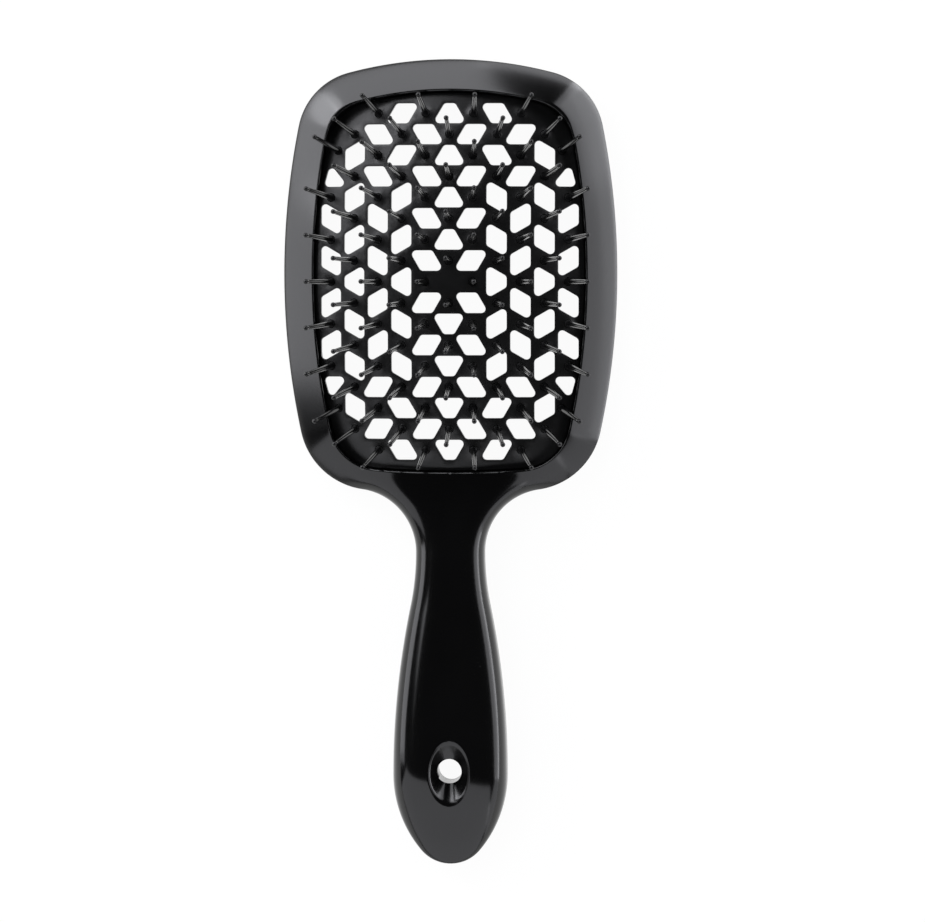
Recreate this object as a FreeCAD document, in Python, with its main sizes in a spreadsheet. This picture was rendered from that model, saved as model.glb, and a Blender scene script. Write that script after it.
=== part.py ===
import FreeCAD, Part
import math
import os
import Sketcher

# Vented detangling brush: two glossy half shells (paddle frame and handle) clamp a domed, vented pad.
# The pad carries ninety slim pins on ball roots, taken in small groups that bend sideways together.
# Millimetres. X runs across the brush, Y from the handle to the head, Z from the back to the pin tips.
# The origin lies under the middle of the plan outline, on the plane the back rests on.

SIZES = [
    ("head_top", 56.6, "pad centre to the top of the head"),
    ("head_half", 42.5, "half width of the head"),
    ("head_side_rise", 1.9, "widest point of the head above the pad centre"),
    ("head_top_radius", 102.0, "arc along the top of the head"),
    ("head_side_radius", 192.0, "arc along each side of the head"),
    ("head_corner_radius", 17.5, "upper corners of the head"),
    ("head_foot_radius", 18.8, "lower corners of the head"),
    ("head_base_radius", 250.0, "arc that closes the head under the shoulders"),
    ("shoulder_radius", 16.2, "hollow between head and neck"),
    ("neck_half", 8.8, "half width of the neck"),
    ("neck_drop", 69.0, "neck below the pad centre"),
    ("throat_radius", 68.0, "hollow from the neck into the grip"),
    ("grip_half", 14.6, "half width of the grip"),
    ("grip_drop", 126.0, "widest point of the grip below the pad centre"),
    ("tail_drop", 149.0, "end of the handle below the pad centre"),
    ("tail_radius", 9.8, "rounded end of the handle"),
    ("parting_z", 4.5, "plane where the two shells meet"),
    ("rim_wall", 1.2, "upright edge of the front shell"),
    ("lip_z", 11.0, "height of the frame lip round the pad"),
    ("slope_inset", 7.8, "width of the sloping face of the frame"),
    ("back_round", 3.2, "rounded lower edge of the back shell"),
    ("opening_half", 34.6, "half width of the frame opening"),
    ("opening_top", 48.3, "opening above the pad centre"),
    ("opening_foot", 48.4, "opening below the pad centre"),
    ("opening_top_radius", 94.0, "arc along the top of the opening"),
    ("opening_side_radius", 184.0, "arc along each side of the opening"),
    ("opening_foot_radius", 300.0, "arc along the foot of the opening"),
    ("opening_corner_radius", 12.5, "corners of the opening"),
    ("crown_margin", 0.5, "crown sections reach this far past the outline"),
    ("root_drop", 46.0, "first crown section, inside the frame"),
    ("root_half", 25.0, "half width of that section"),
    ("shoulder_drop", 53.2, "second crown section, where the shoulders start"),
    ("shoulder_half", 22.2, "half width of that section"),
    ("shoulder_crest", 11.3, "height of that section"),
    ("flare_drop", 56.5, "third crown section, in the shoulder"),
    ("flare_half", 15.2, "half width of that section"),
    ("flare_crest", 11.5, "height of that section"),
    ("gorge_drop", 62.0, "fourth crown section, above the neck"),
    ("gorge_half", 11.0, "half width of that section"),
    ("gorge_crest", 11.7, "height of that section"),
    ("neck_crest", 12.0, "height of the neck"),
    ("grip_crest", 14.8, "height of the grip"),
    ("heel_drop", 137.0, "crown section before the end"),
    ("heel_crest", 11.4, "height of that section"),
    ("tail_crest", 6.2, "height of the crown at the end"),
    ("tail_overrun", 2.0, "last crown section past the end"),
    ("handle_steps", 5.0, "crown sections from the neck to the grip"),
    ("shell_wall", 2.2, "wall round the hollow of the handle"),
    ("hang_drop", 124.6, "hanging hole below the pad centre"),
    ("hang_radius", 3.15, "hanging hole"),
    ("scoop_drop", 125.4, "scooped recess round the hanging hole"),
    ("scoop_half", 5.3, "half width of the scoop"),
    ("scoop_reach", 8.3, "half length of the scoop"),
    ("scoop_depth", 5.0, "depth of the scoop"),
    ("dome_x", 95.0, "radius of the pad across the brush"),
    ("dome_y", 180.0, "radius of the pad along the brush"),
    ("dome_top", 15.6, "crown of the pad"),
    ("pad_wall", 2.2, "thickness of the pad"),
    ("pad_gap", 0.4, "gap between pad skirt and frame"),
    ("skirt_wall", 1.7, "thickness of the pad skirt"),
    ("flange_reach", 2.4, "clamped flange past the opening"),
    ("flange_wall", 1.5, "thickness of the flange"),
    ("flange_gap", 0.3, "side gap round the flange"),
    ("column_pitch", 6.03, "pitch of the pin columns"),
    ("row_pitch", 5.34, "pitch of the pin rows"),
    ("axis_column", 5.63, "vents beside the middle column"),
    ("vent_height", 5.15, "width of a rhombic vent between its long edges"),
    ("vent_round", 1.05, "corner radius of the vents"),
    ("wedge_wide", 8.7, "wide edge of the tapered vents"),
    ("wedge_narrow", 2.75, "narrow edge of the tapered vents"),
    ("corner_vent_width", 6.4, "base of the small corner vents"),
    ("corner_vent_height", 5.9, "height of the small corner vents"),
    ("corner_vent_shift", 1.2, "corner vents moved in from their column"),
    ("corner_pin_x", 28.4, "corner pins, across"),
    ("corner_pin_y", 33.3, "upper corner pins, along"),
    ("corner_pin_low_y", 32.2, "lower corner pins, along"),
    ("pin_length", 17.0, "pin above the pad"),
    ("pin_root_depth", 0.4, "centre of the ball root under the pad surface"),
    ("ball_radius", 1.15, "ball root of a pin"),
    ("socket_gap", 0.06, "play of the ball root in its socket"),
    ("pin_foot_radius", 0.78, "pin shank at the root"),
    ("pin_neck_radius", 0.52, "pin shank below the tip"),
    ("tip_radius", 0.64, "rounded tip of a pin"),
]

COLUMN_NAMES = {0: "centre"}
for number in range(1, 6):
    COLUMN_NAMES[-number] = "left_%d" % number
    COLUMN_NAMES[number] = "right_%d" % number

# Columns whose rhombic vents lie flat, and the row (counted from the middle) where that begins.
FLAT_FROM_ROW = {1: 1, 2: 6, 3: 5}
LAST_ROW = 8
# Outermost vent or pin column in each row, counted from the middle row.
ROW_REACH = {0: 5, 1: 5, 2: 5, 3: 5, 4: 5, 5: 5, 6: 4, 7: 4, 8: 3}
TOOL_REACH = 60.0
DOME_HALF_ANGLE = 20.0
UPRIGHT = FreeCAD.Rotation(FreeCAD.Vector(1.0, 0.0, 0.0), 90.0)

doc = FreeCAD.newDocument("detangling_brush")
sheet = doc.addObject("Spreadsheet::Sheet", "sizes")
V = {}
for line, (alias, value, note) in enumerate(SIZES, start=1):
    sheet.set("A%d" % line, note)
    sheet.set("B%d" % line, repr(value))
    sheet.setAlias("B%d" % line, alias)
    V[alias] = value
doc.recompute()

HEAD_Y = (V["tail_drop"] - V["head_top"]) / 2.0
HEAD_Y_RULE = "(sizes.tail_drop - sizes.head_top) / 2"
RIM_RULE = "sizes.parting_z + sizes.rim_wall"


class Circle:
    """One arc of a closed outline: centre, radius and whether the outline bulges there."""

    def __init__(self, x, y, radius, bulge=True, rule=None):
        self.x = x
        self.y = y
        self.radius = radius
        self.bulge = bulge
        self.rule = rule

    def mirrored(self):
        return Circle(-self.x, self.y, self.radius, self.bulge, self.rule)

    def inset(self, amount):
        sign = -1.0 if self.bulge else 1.0
        return Circle(self.x, self.y, self.radius + sign * amount, self.bulge, self.rule)


def meet(first, reach_first, second, reach_second):
    """Rightmost centre that lies reach_first and reach_second from two circle centres."""
    dx = second.x - first.x
    dy = second.y - first.y
    gap = math.hypot(dx, dy)
    along = (reach_first ** 2 - reach_second ** 2 + gap ** 2) / (2.0 * gap)
    aside = math.sqrt(reach_first ** 2 - along ** 2)
    choices = []
    for sign in (1.0, -1.0):
        x = first.x + along * dx / gap - sign * aside * dy / gap
        y = first.y + along * dy / gap + sign * aside * dx / gap
        choices.append((x, y))
    return max(choices)


def head_circles():
    """Arcs of the head in the order foot, side, corner, top, all on the right half."""
    top = Circle(0.0, V["head_top"] - V["head_top_radius"], V["head_top_radius"],
                 True, "head_top_radius")
    side = Circle(V["head_half"] - V["head_side_radius"], V["head_side_rise"], V["head_side_radius"],
                  True, "head_side_radius")
    radius = V["head_corner_radius"]
    x, y = meet(top, top.radius - radius, side, side.radius - radius)
    corner = Circle(x, y, radius, True, "head_corner_radius")
    hollow = Circle(V["neck_half"] + V["shoulder_radius"], -V["neck_drop"], V["shoulder_radius"],
                    False, "shoulder_radius")
    radius = V["head_foot_radius"]
    x, y = meet(side, side.radius - radius, hollow, hollow.radius + radius)
    foot = Circle(x, y, radius, True, "head_foot_radius")
    return hollow, foot, side, corner, top


def outline_circles():
    """Closed outline of the whole brush, counter-clockwise from the end of the handle."""
    hollow, foot, side, corner, top = head_circles()
    throat = Circle(V["neck_half"] + V["throat_radius"], -V["neck_drop"], V["throat_radius"],
                    False, "throat_radius")
    reach = throat.x - V["grip_half"]
    drop = V["grip_drop"] - V["neck_drop"]
    radius = (reach ** 2 + drop ** 2 - throat.radius ** 2) / (2.0 * (throat.radius - reach))
    grip = Circle(V["grip_half"] - radius, -V["grip_drop"], radius)
    tail = Circle(0.0, V["tail_radius"] - V["tail_drop"], V["tail_radius"], True, "tail_radius")
    rise = tail.y + V["grip_drop"]
    radius = (V["grip_half"] ** 2 + rise ** 2 - tail.radius ** 2) / (2.0 * (V["grip_half"] - tail.radius))
    flank = Circle(V["grip_half"] - radius, -V["grip_drop"], radius)
    right = [flank, grip, throat, hollow, foot, side, corner]
    return [tail] + right + [top] + [circle.mirrored() for circle in reversed(right)]


def head_only_circles():
    """Closed outline of the head alone, counter-clockwise from its foot."""
    hollow, foot, side, corner, top = head_circles()
    reach = V["head_base_radius"] - foot.radius
    base_y = foot.y + math.sqrt(reach ** 2 - foot.x ** 2)
    base = Circle(0.0, base_y, V["head_base_radius"], True, "head_base_radius")
    right = [foot, side, corner]
    return [base] + right + [top] + [circle.mirrored() for circle in reversed(right)]


def opening_circles():
    """Closed outline of the frame opening, counter-clockwise from its foot."""
    foot = Circle(0.0, V["opening_foot_radius"] - V["opening_foot"], V["opening_foot_radius"],
                  True, "opening_foot_radius")
    side = Circle(V["opening_half"] - V["opening_side_radius"], V["head_side_rise"],
                  V["opening_side_radius"], True, "opening_side_radius")
    top = Circle(0.0, V["opening_top"] - V["opening_top_radius"], V["opening_top_radius"],
                 True, "opening_top_radius")
    radius = V["opening_corner_radius"]
    x, y = meet(foot, foot.radius - radius, side, side.radius - radius)
    low = Circle(x, y, radius, True, "opening_corner_radius")
    x, y = meet(top, top.radius - radius, side, side.radius - radius)
    high = Circle(x, y, radius, True, "opening_corner_radius")
    right = [low, side, high]
    return [foot] + right + [top] + [circle.mirrored() for circle in reversed(right)]


def touch(first, second):
    """Point where two neighbouring circles of an outline touch."""
    dx = second.x - first.x
    dy = second.y - first.y
    gap = math.hypot(dx, dy)
    reach = first.radius
    if first.bulge == second.bulge and first.radius < second.radius:
        reach = -first.radius
    return first.x + dx / gap * reach, first.y + dy / gap * reach


def chain_sketch(name, circles, level_rule, inset=0.0, inset_rule=None):
    """Closed sketch of touching arcs, its radii bound to the sheet."""
    sketch = doc.addObject("Sketcher::SketchObject", name)
    sketch.setExpression("Placement.Base.y", HEAD_Y_RULE)
    sketch.setExpression("Placement.Base.z", level_rule)
    circles = [circle.inset(inset) for circle in circles]
    count = len(circles)
    points = [touch(circles[k], circles[(k + 1) % count]) for k in range(count)]
    for k, circle in enumerate(circles):
        begin = points[k - 1]
        end = points[k]
        if not circle.bulge:
            begin, end = end, begin
        start = math.atan2(begin[1] - circle.y, begin[0] - circle.x)
        stop = math.atan2(end[1] - circle.y, end[0] - circle.x)
        if stop < start:
            stop += 2.0 * math.pi
        centre = FreeCAD.Vector(circle.x, circle.y, 0.0)
        ring = Part.Circle(centre, FreeCAD.Vector(0.0, 0.0, 1.0), circle.radius)
        sketch.addGeometry(Part.ArcOfCircle(ring, start, stop), False)
    for k, circle in enumerate(circles):
        other = circles[(k + 1) % count]
        leave = 2 if circle.bulge else 1
        enter = 1 if other.bulge else 2
        sketch.addConstraint(Sketcher.Constraint("Tangent", k, leave, (k + 1) % count, enter))
    for k, circle in enumerate(circles):
        if circle.rule is None:
            continue
        row = sketch.addConstraint(Sketcher.Constraint("Radius", k, circle.radius))
        rule = "sizes." + circle.rule
        if inset_rule is not None:
            sign = "-" if circle.bulge else "+"
            rule = "%s %s (%s)" % (rule, sign, inset_rule)
        sketch.setExpression("Constraints[%d]" % row, rule)
    return sketch


def polygon_sketch(name, corners, round_rule):
    """Closed convex sketch with every corner rounded to one bound radius."""
    sketch = doc.addObject("Sketcher::SketchObject", name)
    radius = V[round_rule]
    count = len(corners)
    trims = []
    for k in range(count):
        here = FreeCAD.Vector(corners[k][0], corners[k][1], 0.0)
        before = (FreeCAD.Vector(corners[k - 1][0], corners[k - 1][1], 0.0) - here).normalize()
        after_x, after_y = corners[(k + 1) % count]
        after = (FreeCAD.Vector(after_x, after_y, 0.0) - here).normalize()
        half = before.getAngle(after) / 2.0
        middle = here + (before + after).normalize() * (radius / math.sin(half))
        run = radius / math.tan(half)
        trims.append((here + before * run, here + after * run, middle))
    for k in range(count):
        sketch.addGeometry(Part.LineSegment(trims[k][1], trims[(k + 1) % count][0]), False)
    for k in range(count):
        first, last, middle = trims[k]
        start = math.atan2(first.y - middle.y, first.x - middle.x)
        stop = math.atan2(last.y - middle.y, last.x - middle.x)
        if stop < start:
            stop += 2.0 * math.pi
        ring = Part.Circle(middle, FreeCAD.Vector(0.0, 0.0, 1.0), radius)
        arc = sketch.addGeometry(Part.ArcOfCircle(ring, start, stop), False)
        sketch.addConstraint(Sketcher.Constraint("Tangent", (k - 1) % count, 2, arc, 1))
        sketch.addConstraint(Sketcher.Constraint("Tangent", arc, 2, k, 1))
        row = sketch.addConstraint(Sketcher.Constraint("Radius", arc, radius))
        sketch.setExpression("Constraints[%d]" % row, "sizes." + round_rule)
    return sketch


def extrude(name, sketch, height_rule, symmetric=False):
    """Solid prism over a sketch."""
    prism = doc.addObject("Part::Extrusion", name)
    prism.Base = sketch
    prism.DirMode = "Normal"
    prism.Solid = True
    prism.Symmetric = symmetric
    prism.setExpression("LengthFwd", height_rule)
    return prism


def boolean(kind, name, parts, refine=False):
    """Part boolean of a first shape and the rest."""
    result = doc.addObject(kind, name)
    if kind == "Part::Cut":
        result.Base = parts[0]
        result.Tool = parts[1]
    else:
        result.Shapes = parts
    result.Refine = refine
    return result


def section(name, drop_rule, half_rule, rise_rule):
    """Upright ellipse across the handle, centred on the rim plane."""
    ellipse = doc.addObject("Part::Ellipse", name)
    ellipse.Placement = FreeCAD.Placement(FreeCAD.Vector(), UPRIGHT)
    ellipse.setExpression("Placement.Base.y", "%s - (%s)" % (HEAD_Y_RULE, drop_rule))
    ellipse.setExpression("Placement.Base.z", RIM_RULE)
    ellipse.setExpression("MajorRadius", half_rule)
    ellipse.setExpression("MinorRadius", rise_rule)
    return ellipse


def loft(name, sections, ruled=False):
    """Solid through closed sections."""
    body = doc.addObject("Part::Loft", name)
    body.Sections = sections
    body.Solid = True
    body.Ruled = ruled
    return body


def compound(name, links):
    """Several placed copies as one object."""
    group = doc.addObject("Part::Compound", name)
    group.Links = links
    return group


def copy_of(source, name, position, rotation):
    """Linked copy of one document object at a place."""
    link = doc.addObject("App::Link", name)
    link.LinkedObject = source
    link.LinkTransform = True
    link.LinkPlacement = FreeCAD.Placement(position, rotation)
    return link


def above_rim(crest):
    return "sizes.%s - (%s)" % (crest, RIM_RULE)


# Front shell: upright edge, sloping frame face and crowned handle.
HIGH_RULE = "sizes.grip_crest + sizes.lip_z"
front_edge = extrude("front_edge", chain_sketch("front_outline", outline_circles(), "sizes.parting_z"),
                     "sizes.rim_wall")
frame_foot = chain_sketch("frame_foot_outline", head_only_circles(), RIM_RULE)
frame_head = chain_sketch("frame_lip_outline", head_only_circles(), "sizes.lip_z", V["slope_inset"],
                          "sizes.slope_inset")
frame_face = loft("frame_face", [frame_foot, frame_head], True)

REACH_RULE = "(sizes.neck_half + sizes.throat_radius - sizes.grip_half)"
FALL_RULE = "(sizes.grip_drop - sizes.neck_drop)"
GRIP_RADIUS_RULE = "((%s^2 + %s^2 - sizes.throat_radius^2) / (2 * (sizes.throat_radius - %s)))" % (
    REACH_RULE, FALL_RULE, REACH_RULE)


def handle_drop(share):
    """Rule for a place part of the way from the neck to the widest point of the grip."""
    return "(sizes.neck_drop + %s * %r)" % (FALL_RULE, share)


def handle_half(share):
    """Rule for the half width of the outline at that place, on the throat or the grip arc."""
    grip, throat = outline_circles()[2:4]
    turn_drop = -touch(grip, throat)[1]
    drop = V["neck_drop"] + (V["grip_drop"] - V["neck_drop"]) * share
    if drop < turn_drop:
        run = "(%s - sizes.neck_drop)" % handle_drop(share)
        return "sizes.neck_half + sizes.throat_radius - sqrt(sizes.throat_radius^2 - %s^2)" % run
    run = "(sizes.grip_drop - %s)" % handle_drop(share)
    return "sizes.grip_half - %s + sqrt(%s^2 - %s^2)" % (GRIP_RADIUS_RULE, GRIP_RADIUS_RULE, run)


def handle_rise(share):
    """Rule for the height of the crown there, easing from the neck to the grip."""
    ease = share * share * (3.0 - 2.0 * share)
    return "sizes.neck_crest + (sizes.grip_crest - sizes.neck_crest) * %r - (%s)" % (ease, RIM_RULE)


TAIL_HALF = "sizes.grip_half + sizes.crown_margin"
crown_sections = [
    section("crown_root", "sizes.root_drop", "sizes.root_half", above_rim("lip_z")),
    section("crown_shoulder", "sizes.shoulder_drop", "sizes.shoulder_half + sizes.crown_margin",
            above_rim("shoulder_crest")),
    section("crown_flare", "sizes.flare_drop", "sizes.flare_half + sizes.crown_margin",
            above_rim("flare_crest")),
    section("crown_gorge", "sizes.gorge_drop", "sizes.gorge_half + sizes.crown_margin",
            above_rim("gorge_crest")),
]
steps = int(V["handle_steps"])
for step in range(steps + 1):
    share = step / steps
    crown_sections.append(section("crown_handle_%d" % step, handle_drop(share),
                                  handle_half(share) + " + sizes.crown_margin", handle_rise(share)))
crown_sections.append(section("crown_heel", "sizes.heel_drop", TAIL_HALF, above_rim("heel_crest")))
crown_sections.append(section("crown_tail", "sizes.tail_drop + sizes.tail_overrun", TAIL_HALF,
                              above_rim("tail_crest")))
crown_tube = loft("crown_tube", crown_sections)
crown_prism = extrude("crown_prism", chain_sketch("crown_outline", outline_circles(), RIM_RULE), HIGH_RULE)
crown = boolean("Part::MultiCommon", "crown", [crown_prism, crown_tube])
front_blank = boolean("Part::MultiFuse", "front_blank", [front_edge, frame_face, crown], True)

# Space taken out of the shells: opening, flange pocket, hollow of the handle, hanging hole and scoop.
DEEP_RULE = "0 - sizes.parting_z"
opening = extrude("opening", chain_sketch("opening_outline", opening_circles(), DEEP_RULE),
                  "2 * sizes.parting_z + %s" % HIGH_RULE)
POCKET_REACH = V["flange_reach"] + V["flange_gap"]
pocket_sketch = chain_sketch("pocket_outline", opening_circles(), "sizes.parting_z - sizes.flange_wall / 2",
                             -POCKET_REACH, "0 - (sizes.flange_reach + sizes.flange_gap)")
pocket = extrude("pocket", pocket_sketch, "sizes.flange_wall")

HOLLOW_SHARES = (0.0, 0.25, 0.5, 0.75)
hollow_tube = loft("hollow_tube", [
    section("hollow_%d" % number, handle_drop(share), handle_half(share) + " - sizes.shell_wall",
            handle_rise(share) + " - sizes.shell_wall") for number, share in enumerate(HOLLOW_SHARES)])
hollow_room = doc.addObject("Part::Box", "hollow_room")
hollow_room.setExpression("Length", "4 * sizes.grip_half")
hollow_room.setExpression("Width", "2 * sizes.tail_drop")
hollow_room.setExpression("Height", HIGH_RULE)
hollow_room.setExpression("Placement.Base.x", "-2 * sizes.grip_half")
hollow_room.setExpression("Placement.Base.y", HEAD_Y_RULE + " - 2 * sizes.tail_drop")
hollow_room.setExpression("Placement.Base.z", "sizes.shell_wall")
hollow_tool = boolean("Part::MultiCommon", "hollow_tool", [hollow_tube, hollow_room])

hang_hole = doc.addObject("Part::Cylinder", "hang_hole")
hang_hole.setExpression("Radius", "sizes.hang_radius")
hang_hole.setExpression("Height", "2 * sizes.parting_z + " + HIGH_RULE)
hang_hole.setExpression("Placement.Base.y", HEAD_Y_RULE + " - sizes.hang_drop")
hang_hole.setExpression("Placement.Base.z", DEEP_RULE)
scoop = doc.addObject("Part::Ellipsoid", "scoop")
scoop.setExpression("Radius1", "sizes.scoop_depth")
scoop.setExpression("Radius2", "sizes.scoop_half")
scoop.setExpression("Radius3", "sizes.scoop_reach")
scoop.setExpression("Placement.Base.y", HEAD_Y_RULE + " - sizes.scoop_drop")
scoop.setExpression("Placement.Base.z", "sizes.grip_crest")

shell_space = boolean("Part::MultiFuse", "shell_space", [opening, pocket, hollow_tool, hang_hole])
front_space = boolean("Part::MultiFuse", "front_space", [shell_space, scoop])
front_shell = boolean("Part::Cut", "front_shell", [front_blank, front_space], True)

# Back shell: flat land with a rounded lower edge.
back_plate = extrude("back_plate", chain_sketch("back_outline", outline_circles(), "0"), "sizes.parting_z")
doc.recompute()
back_blank = doc.addObject("Part::Fillet", "back_blank")
back_blank.Base = back_plate
low_edges = []
for number, edge in enumerate(back_plate.Shape.Edges, start=1):
    if edge.BoundBox.ZMax < V["parting_z"] / 2.0:
        low_edges.append((number, V["back_round"], V["back_round"]))
back_blank.Edges = low_edges
back_shell = boolean("Part::Cut", "back_shell", [back_blank, shell_space], True)


# Vented pad: domed face, skirt and clamped flange.
def dome(name, shrink, shrink_rule):
    """Solid under the domed face, an arc across the brush swung along it."""
    profile = doc.addObject("Sketcher::SketchObject", name + "_profile")
    profile.Placement = FreeCAD.Placement(FreeCAD.Vector(), UPRIGHT)
    profile.setExpression("Placement.Base.y", HEAD_Y_RULE)
    radius = V["dome_x"] - shrink
    half = math.asin(TOOL_REACH / radius)
    middle = V["dome_top"] - V["dome_x"]
    side_z = middle + radius * math.cos(half)
    left = FreeCAD.Vector(-TOOL_REACH, side_z, 0.0)
    right = FreeCAD.Vector(TOOL_REACH, side_z, 0.0)
    low = FreeCAD.Vector(0.0, -TOOL_REACH, 0.0)
    ring = Part.Circle(FreeCAD.Vector(0.0, middle, 0.0), FreeCAD.Vector(0.0, 0.0, 1.0), radius)
    quarter = math.pi / 2.0
    arc = profile.addGeometry(Part.ArcOfCircle(ring, quarter - half, quarter + half), False)
    profile.addGeometry(Part.LineSegment(left, left + low), False)
    profile.addGeometry(Part.LineSegment(left + low, right + low), False)
    profile.addGeometry(Part.LineSegment(right + low, right), False)
    for first, second in ((0, 1), (1, 2), (2, 3), (3, 0)):
        profile.addConstraint(Sketcher.Constraint("Coincident", first, 2, second, 1))
    row = profile.addConstraint(Sketcher.Constraint("Radius", arc, radius))
    profile.setExpression("Constraints[%d]" % row, "sizes.dome_x" + shrink_rule)
    swing = doc.addObject("Part::Revolution", name)
    swing.Source = profile
    swing.Axis = FreeCAD.Vector(1.0, 0.0, 0.0)
    swing.setExpression("Base.y", HEAD_Y_RULE)
    swing.setExpression("Base.z", "sizes.dome_top - sizes.dome_y")
    swing.Angle = 2.0 * DOME_HALF_ANGLE
    swing.Symmetric = True
    swing.Solid = True
    return swing


FLANGE_LOW = "sizes.parting_z - sizes.flange_wall / 2"
skirt_prism = extrude("skirt_prism", chain_sketch("skirt_outline", opening_circles(), FLANGE_LOW, V["pad_gap"],
                                                  "sizes.pad_gap"), HIGH_RULE)
SKIRT_INSET = V["pad_gap"] + V["skirt_wall"]
inner_sketch = chain_sketch("skirt_inner_outline", opening_circles(), DEEP_RULE, SKIRT_INSET,
                            "sizes.pad_gap + sizes.skirt_wall")
inner_prism = extrude("inner_prism", inner_sketch, "2 * sizes.parting_z + " + HIGH_RULE)
pad_outer = boolean("Part::MultiCommon", "pad_outer", [skirt_prism, dome("dome_outer", 0.0, "")])
pad_inner = boolean("Part::MultiCommon", "pad_inner",
                    [inner_prism, dome("dome_inner", V["pad_wall"], " - sizes.pad_wall")])
flange = extrude("flange", chain_sketch("flange_outline", opening_circles(), FLANGE_LOW, -V["flange_reach"],
                                        "0 - sizes.flange_reach"), "sizes.flange_wall")
pad_full = boolean("Part::MultiFuse", "pad_full", [pad_outer, flange])
pad_blank = boolean("Part::Cut", "pad_blank", [pad_full, pad_inner], True)

# Vents: one rhombus, one taper and one small corner shape, each copied to its places.
VENT_RULE = "2 * sizes.dome_top"
half_height = V["vent_height"] / 2.0
half_side = V["vent_height"] / math.cos(math.pi / 6.0) / 2.0
lean = half_height * math.tan(math.pi / 6.0)
rhombus = extrude("vent_rhombus", polygon_sketch("rhombus_outline", [
    (-half_side - lean, -half_height), (half_side - lean, -half_height),
    (half_side + lean, half_height), (-half_side + lean, half_height)], "vent_round"), VENT_RULE, True)
wide = V["wedge_wide"] / 2.0
narrow = V["wedge_narrow"] / 2.0
wedge = extrude("vent_wedge", polygon_sketch("wedge_outline", [
    (-wide, -half_height), (wide, -half_height), (narrow, half_height), (-narrow, half_height)], "vent_round"),
    VENT_RULE, True)
corner_half = V["corner_vent_width"] / 2.0
corner_vent = extrude("vent_corner", polygon_sketch("corner_vent_outline", [
    (-corner_half, -half_height), (corner_half, -half_height),
    (corner_half / 2.0, V["corner_vent_height"] - half_height)], "vent_round"), VENT_RULE, True)

TURN_AXIS = FreeCAD.Vector(0.0, 0.0, 1.0)
FLIP = FreeCAD.Rotation(FreeCAD.Vector(0.0, 1.0, 0.0), 180.0)


def turn(degrees):
    return FreeCAD.Rotation(TURN_AXIS, degrees)


def place_vent(column, row):
    """Linked vent at one lattice place, mirrored by quadrant."""
    across = abs(column)
    along = abs(row)
    x = V["column_pitch"] * column
    y = V["row_pitch"] * row
    name = "vent_%s_%d" % (COLUMN_NAMES[column], row)
    if across == 0:
        spin = turn(0.0 if row > 0 else 180.0)
        return copy_of(wedge, name, FreeCAD.Vector(x, HEAD_Y + y, 0.0), spin)
    if along == 0:
        spin = turn(-90.0 if column > 0 else 90.0)
        return copy_of(wedge, name, FreeCAD.Vector(x, HEAD_Y + y, 0.0), spin)
    if across == 5 and along == 5:
        x -= math.copysign(V["corner_vent_shift"], x)
        spin = turn(0.0)
        if column * row < 0:
            spin = FLIP
        if row < 0:
            spin = turn(180.0).multiply(spin)
        return copy_of(corner_vent, name, FreeCAD.Vector(x, HEAD_Y + y, 0.0), spin)
    flat = across in FLAT_FROM_ROW and along >= FLAT_FROM_ROW[across]
    if across == 1:
        x = math.copysign(V["axis_column"], column)
    rising = (across % 2 == 1) == (column * row > 0)
    if flat:
        spin = turn(0.0) if rising else FLIP
    else:
        spin = turn(90.0).multiply(FLIP) if rising else turn(90.0)
    return copy_of(rhombus, name, FreeCAD.Vector(x, HEAD_Y + y, 0.0), spin)


def lattice(parity):
    """Lattice places whose column and row add to the wanted parity, leaving out the solid middle."""
    places = []
    for row in range(-LAST_ROW, LAST_ROW + 1):
        reach = ROW_REACH[abs(row)]
        for column in range(-reach, reach + 1):
            if (column + row) % 2 == parity and (column, row) != (0, 0):
                places.append((column, row))
    return places


vents = compound("vents", [place_vent(column, row) for column, row in lattice(0)])

# Pins: each column is taken in three zones, and the ball roots of a zone lie on one straight hinge line.
ZONE_NAMES = ("lower", "middle", "upper")


def on_dome(x, y):
    """Point on the domed face over a plan place, and the outward normal there."""
    tilt = math.asin(x / V["dome_x"])
    reach = V["dome_y"] - V["dome_x"] + V["dome_x"] * math.cos(tilt)
    swing = math.asin(y / reach)
    foot = V["dome_top"] - V["dome_y"]
    point = FreeCAD.Vector(x, HEAD_Y + y, foot + reach * math.cos(swing))
    normal = FreeCAD.Vector(math.sin(tilt), math.cos(tilt) * math.sin(swing), math.cos(tilt) * math.cos(swing))
    return point, normal


def zone_of(column, row):
    """Zone index of a pin: rows far below, near and far above the middle."""
    limit = 2 if abs(column) % 2 == 1 else 1
    if abs(row) <= limit:
        return 1
    return 2 if row > 0 else 0


def pin_place(column, row):
    if abs(column) == 5 and abs(row) == 6:
        along = V["corner_pin_y"] if row > 0 else -V["corner_pin_low_y"]
        return math.copysign(V["corner_pin_x"], column), along
    return V["column_pitch"] * column, V["row_pitch"] * row


def straightened(points):
    """Ball roots of a zone moved onto one straight line, half the bow each way."""
    if len(points) < 3:
        return points
    first, middle, last = points
    line = (last - first).normalize()
    bow = middle - first
    bow = bow - line * bow.dot(line)
    return [first + bow * 0.5, middle - bow * 0.5, last + bow * 0.5]


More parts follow.
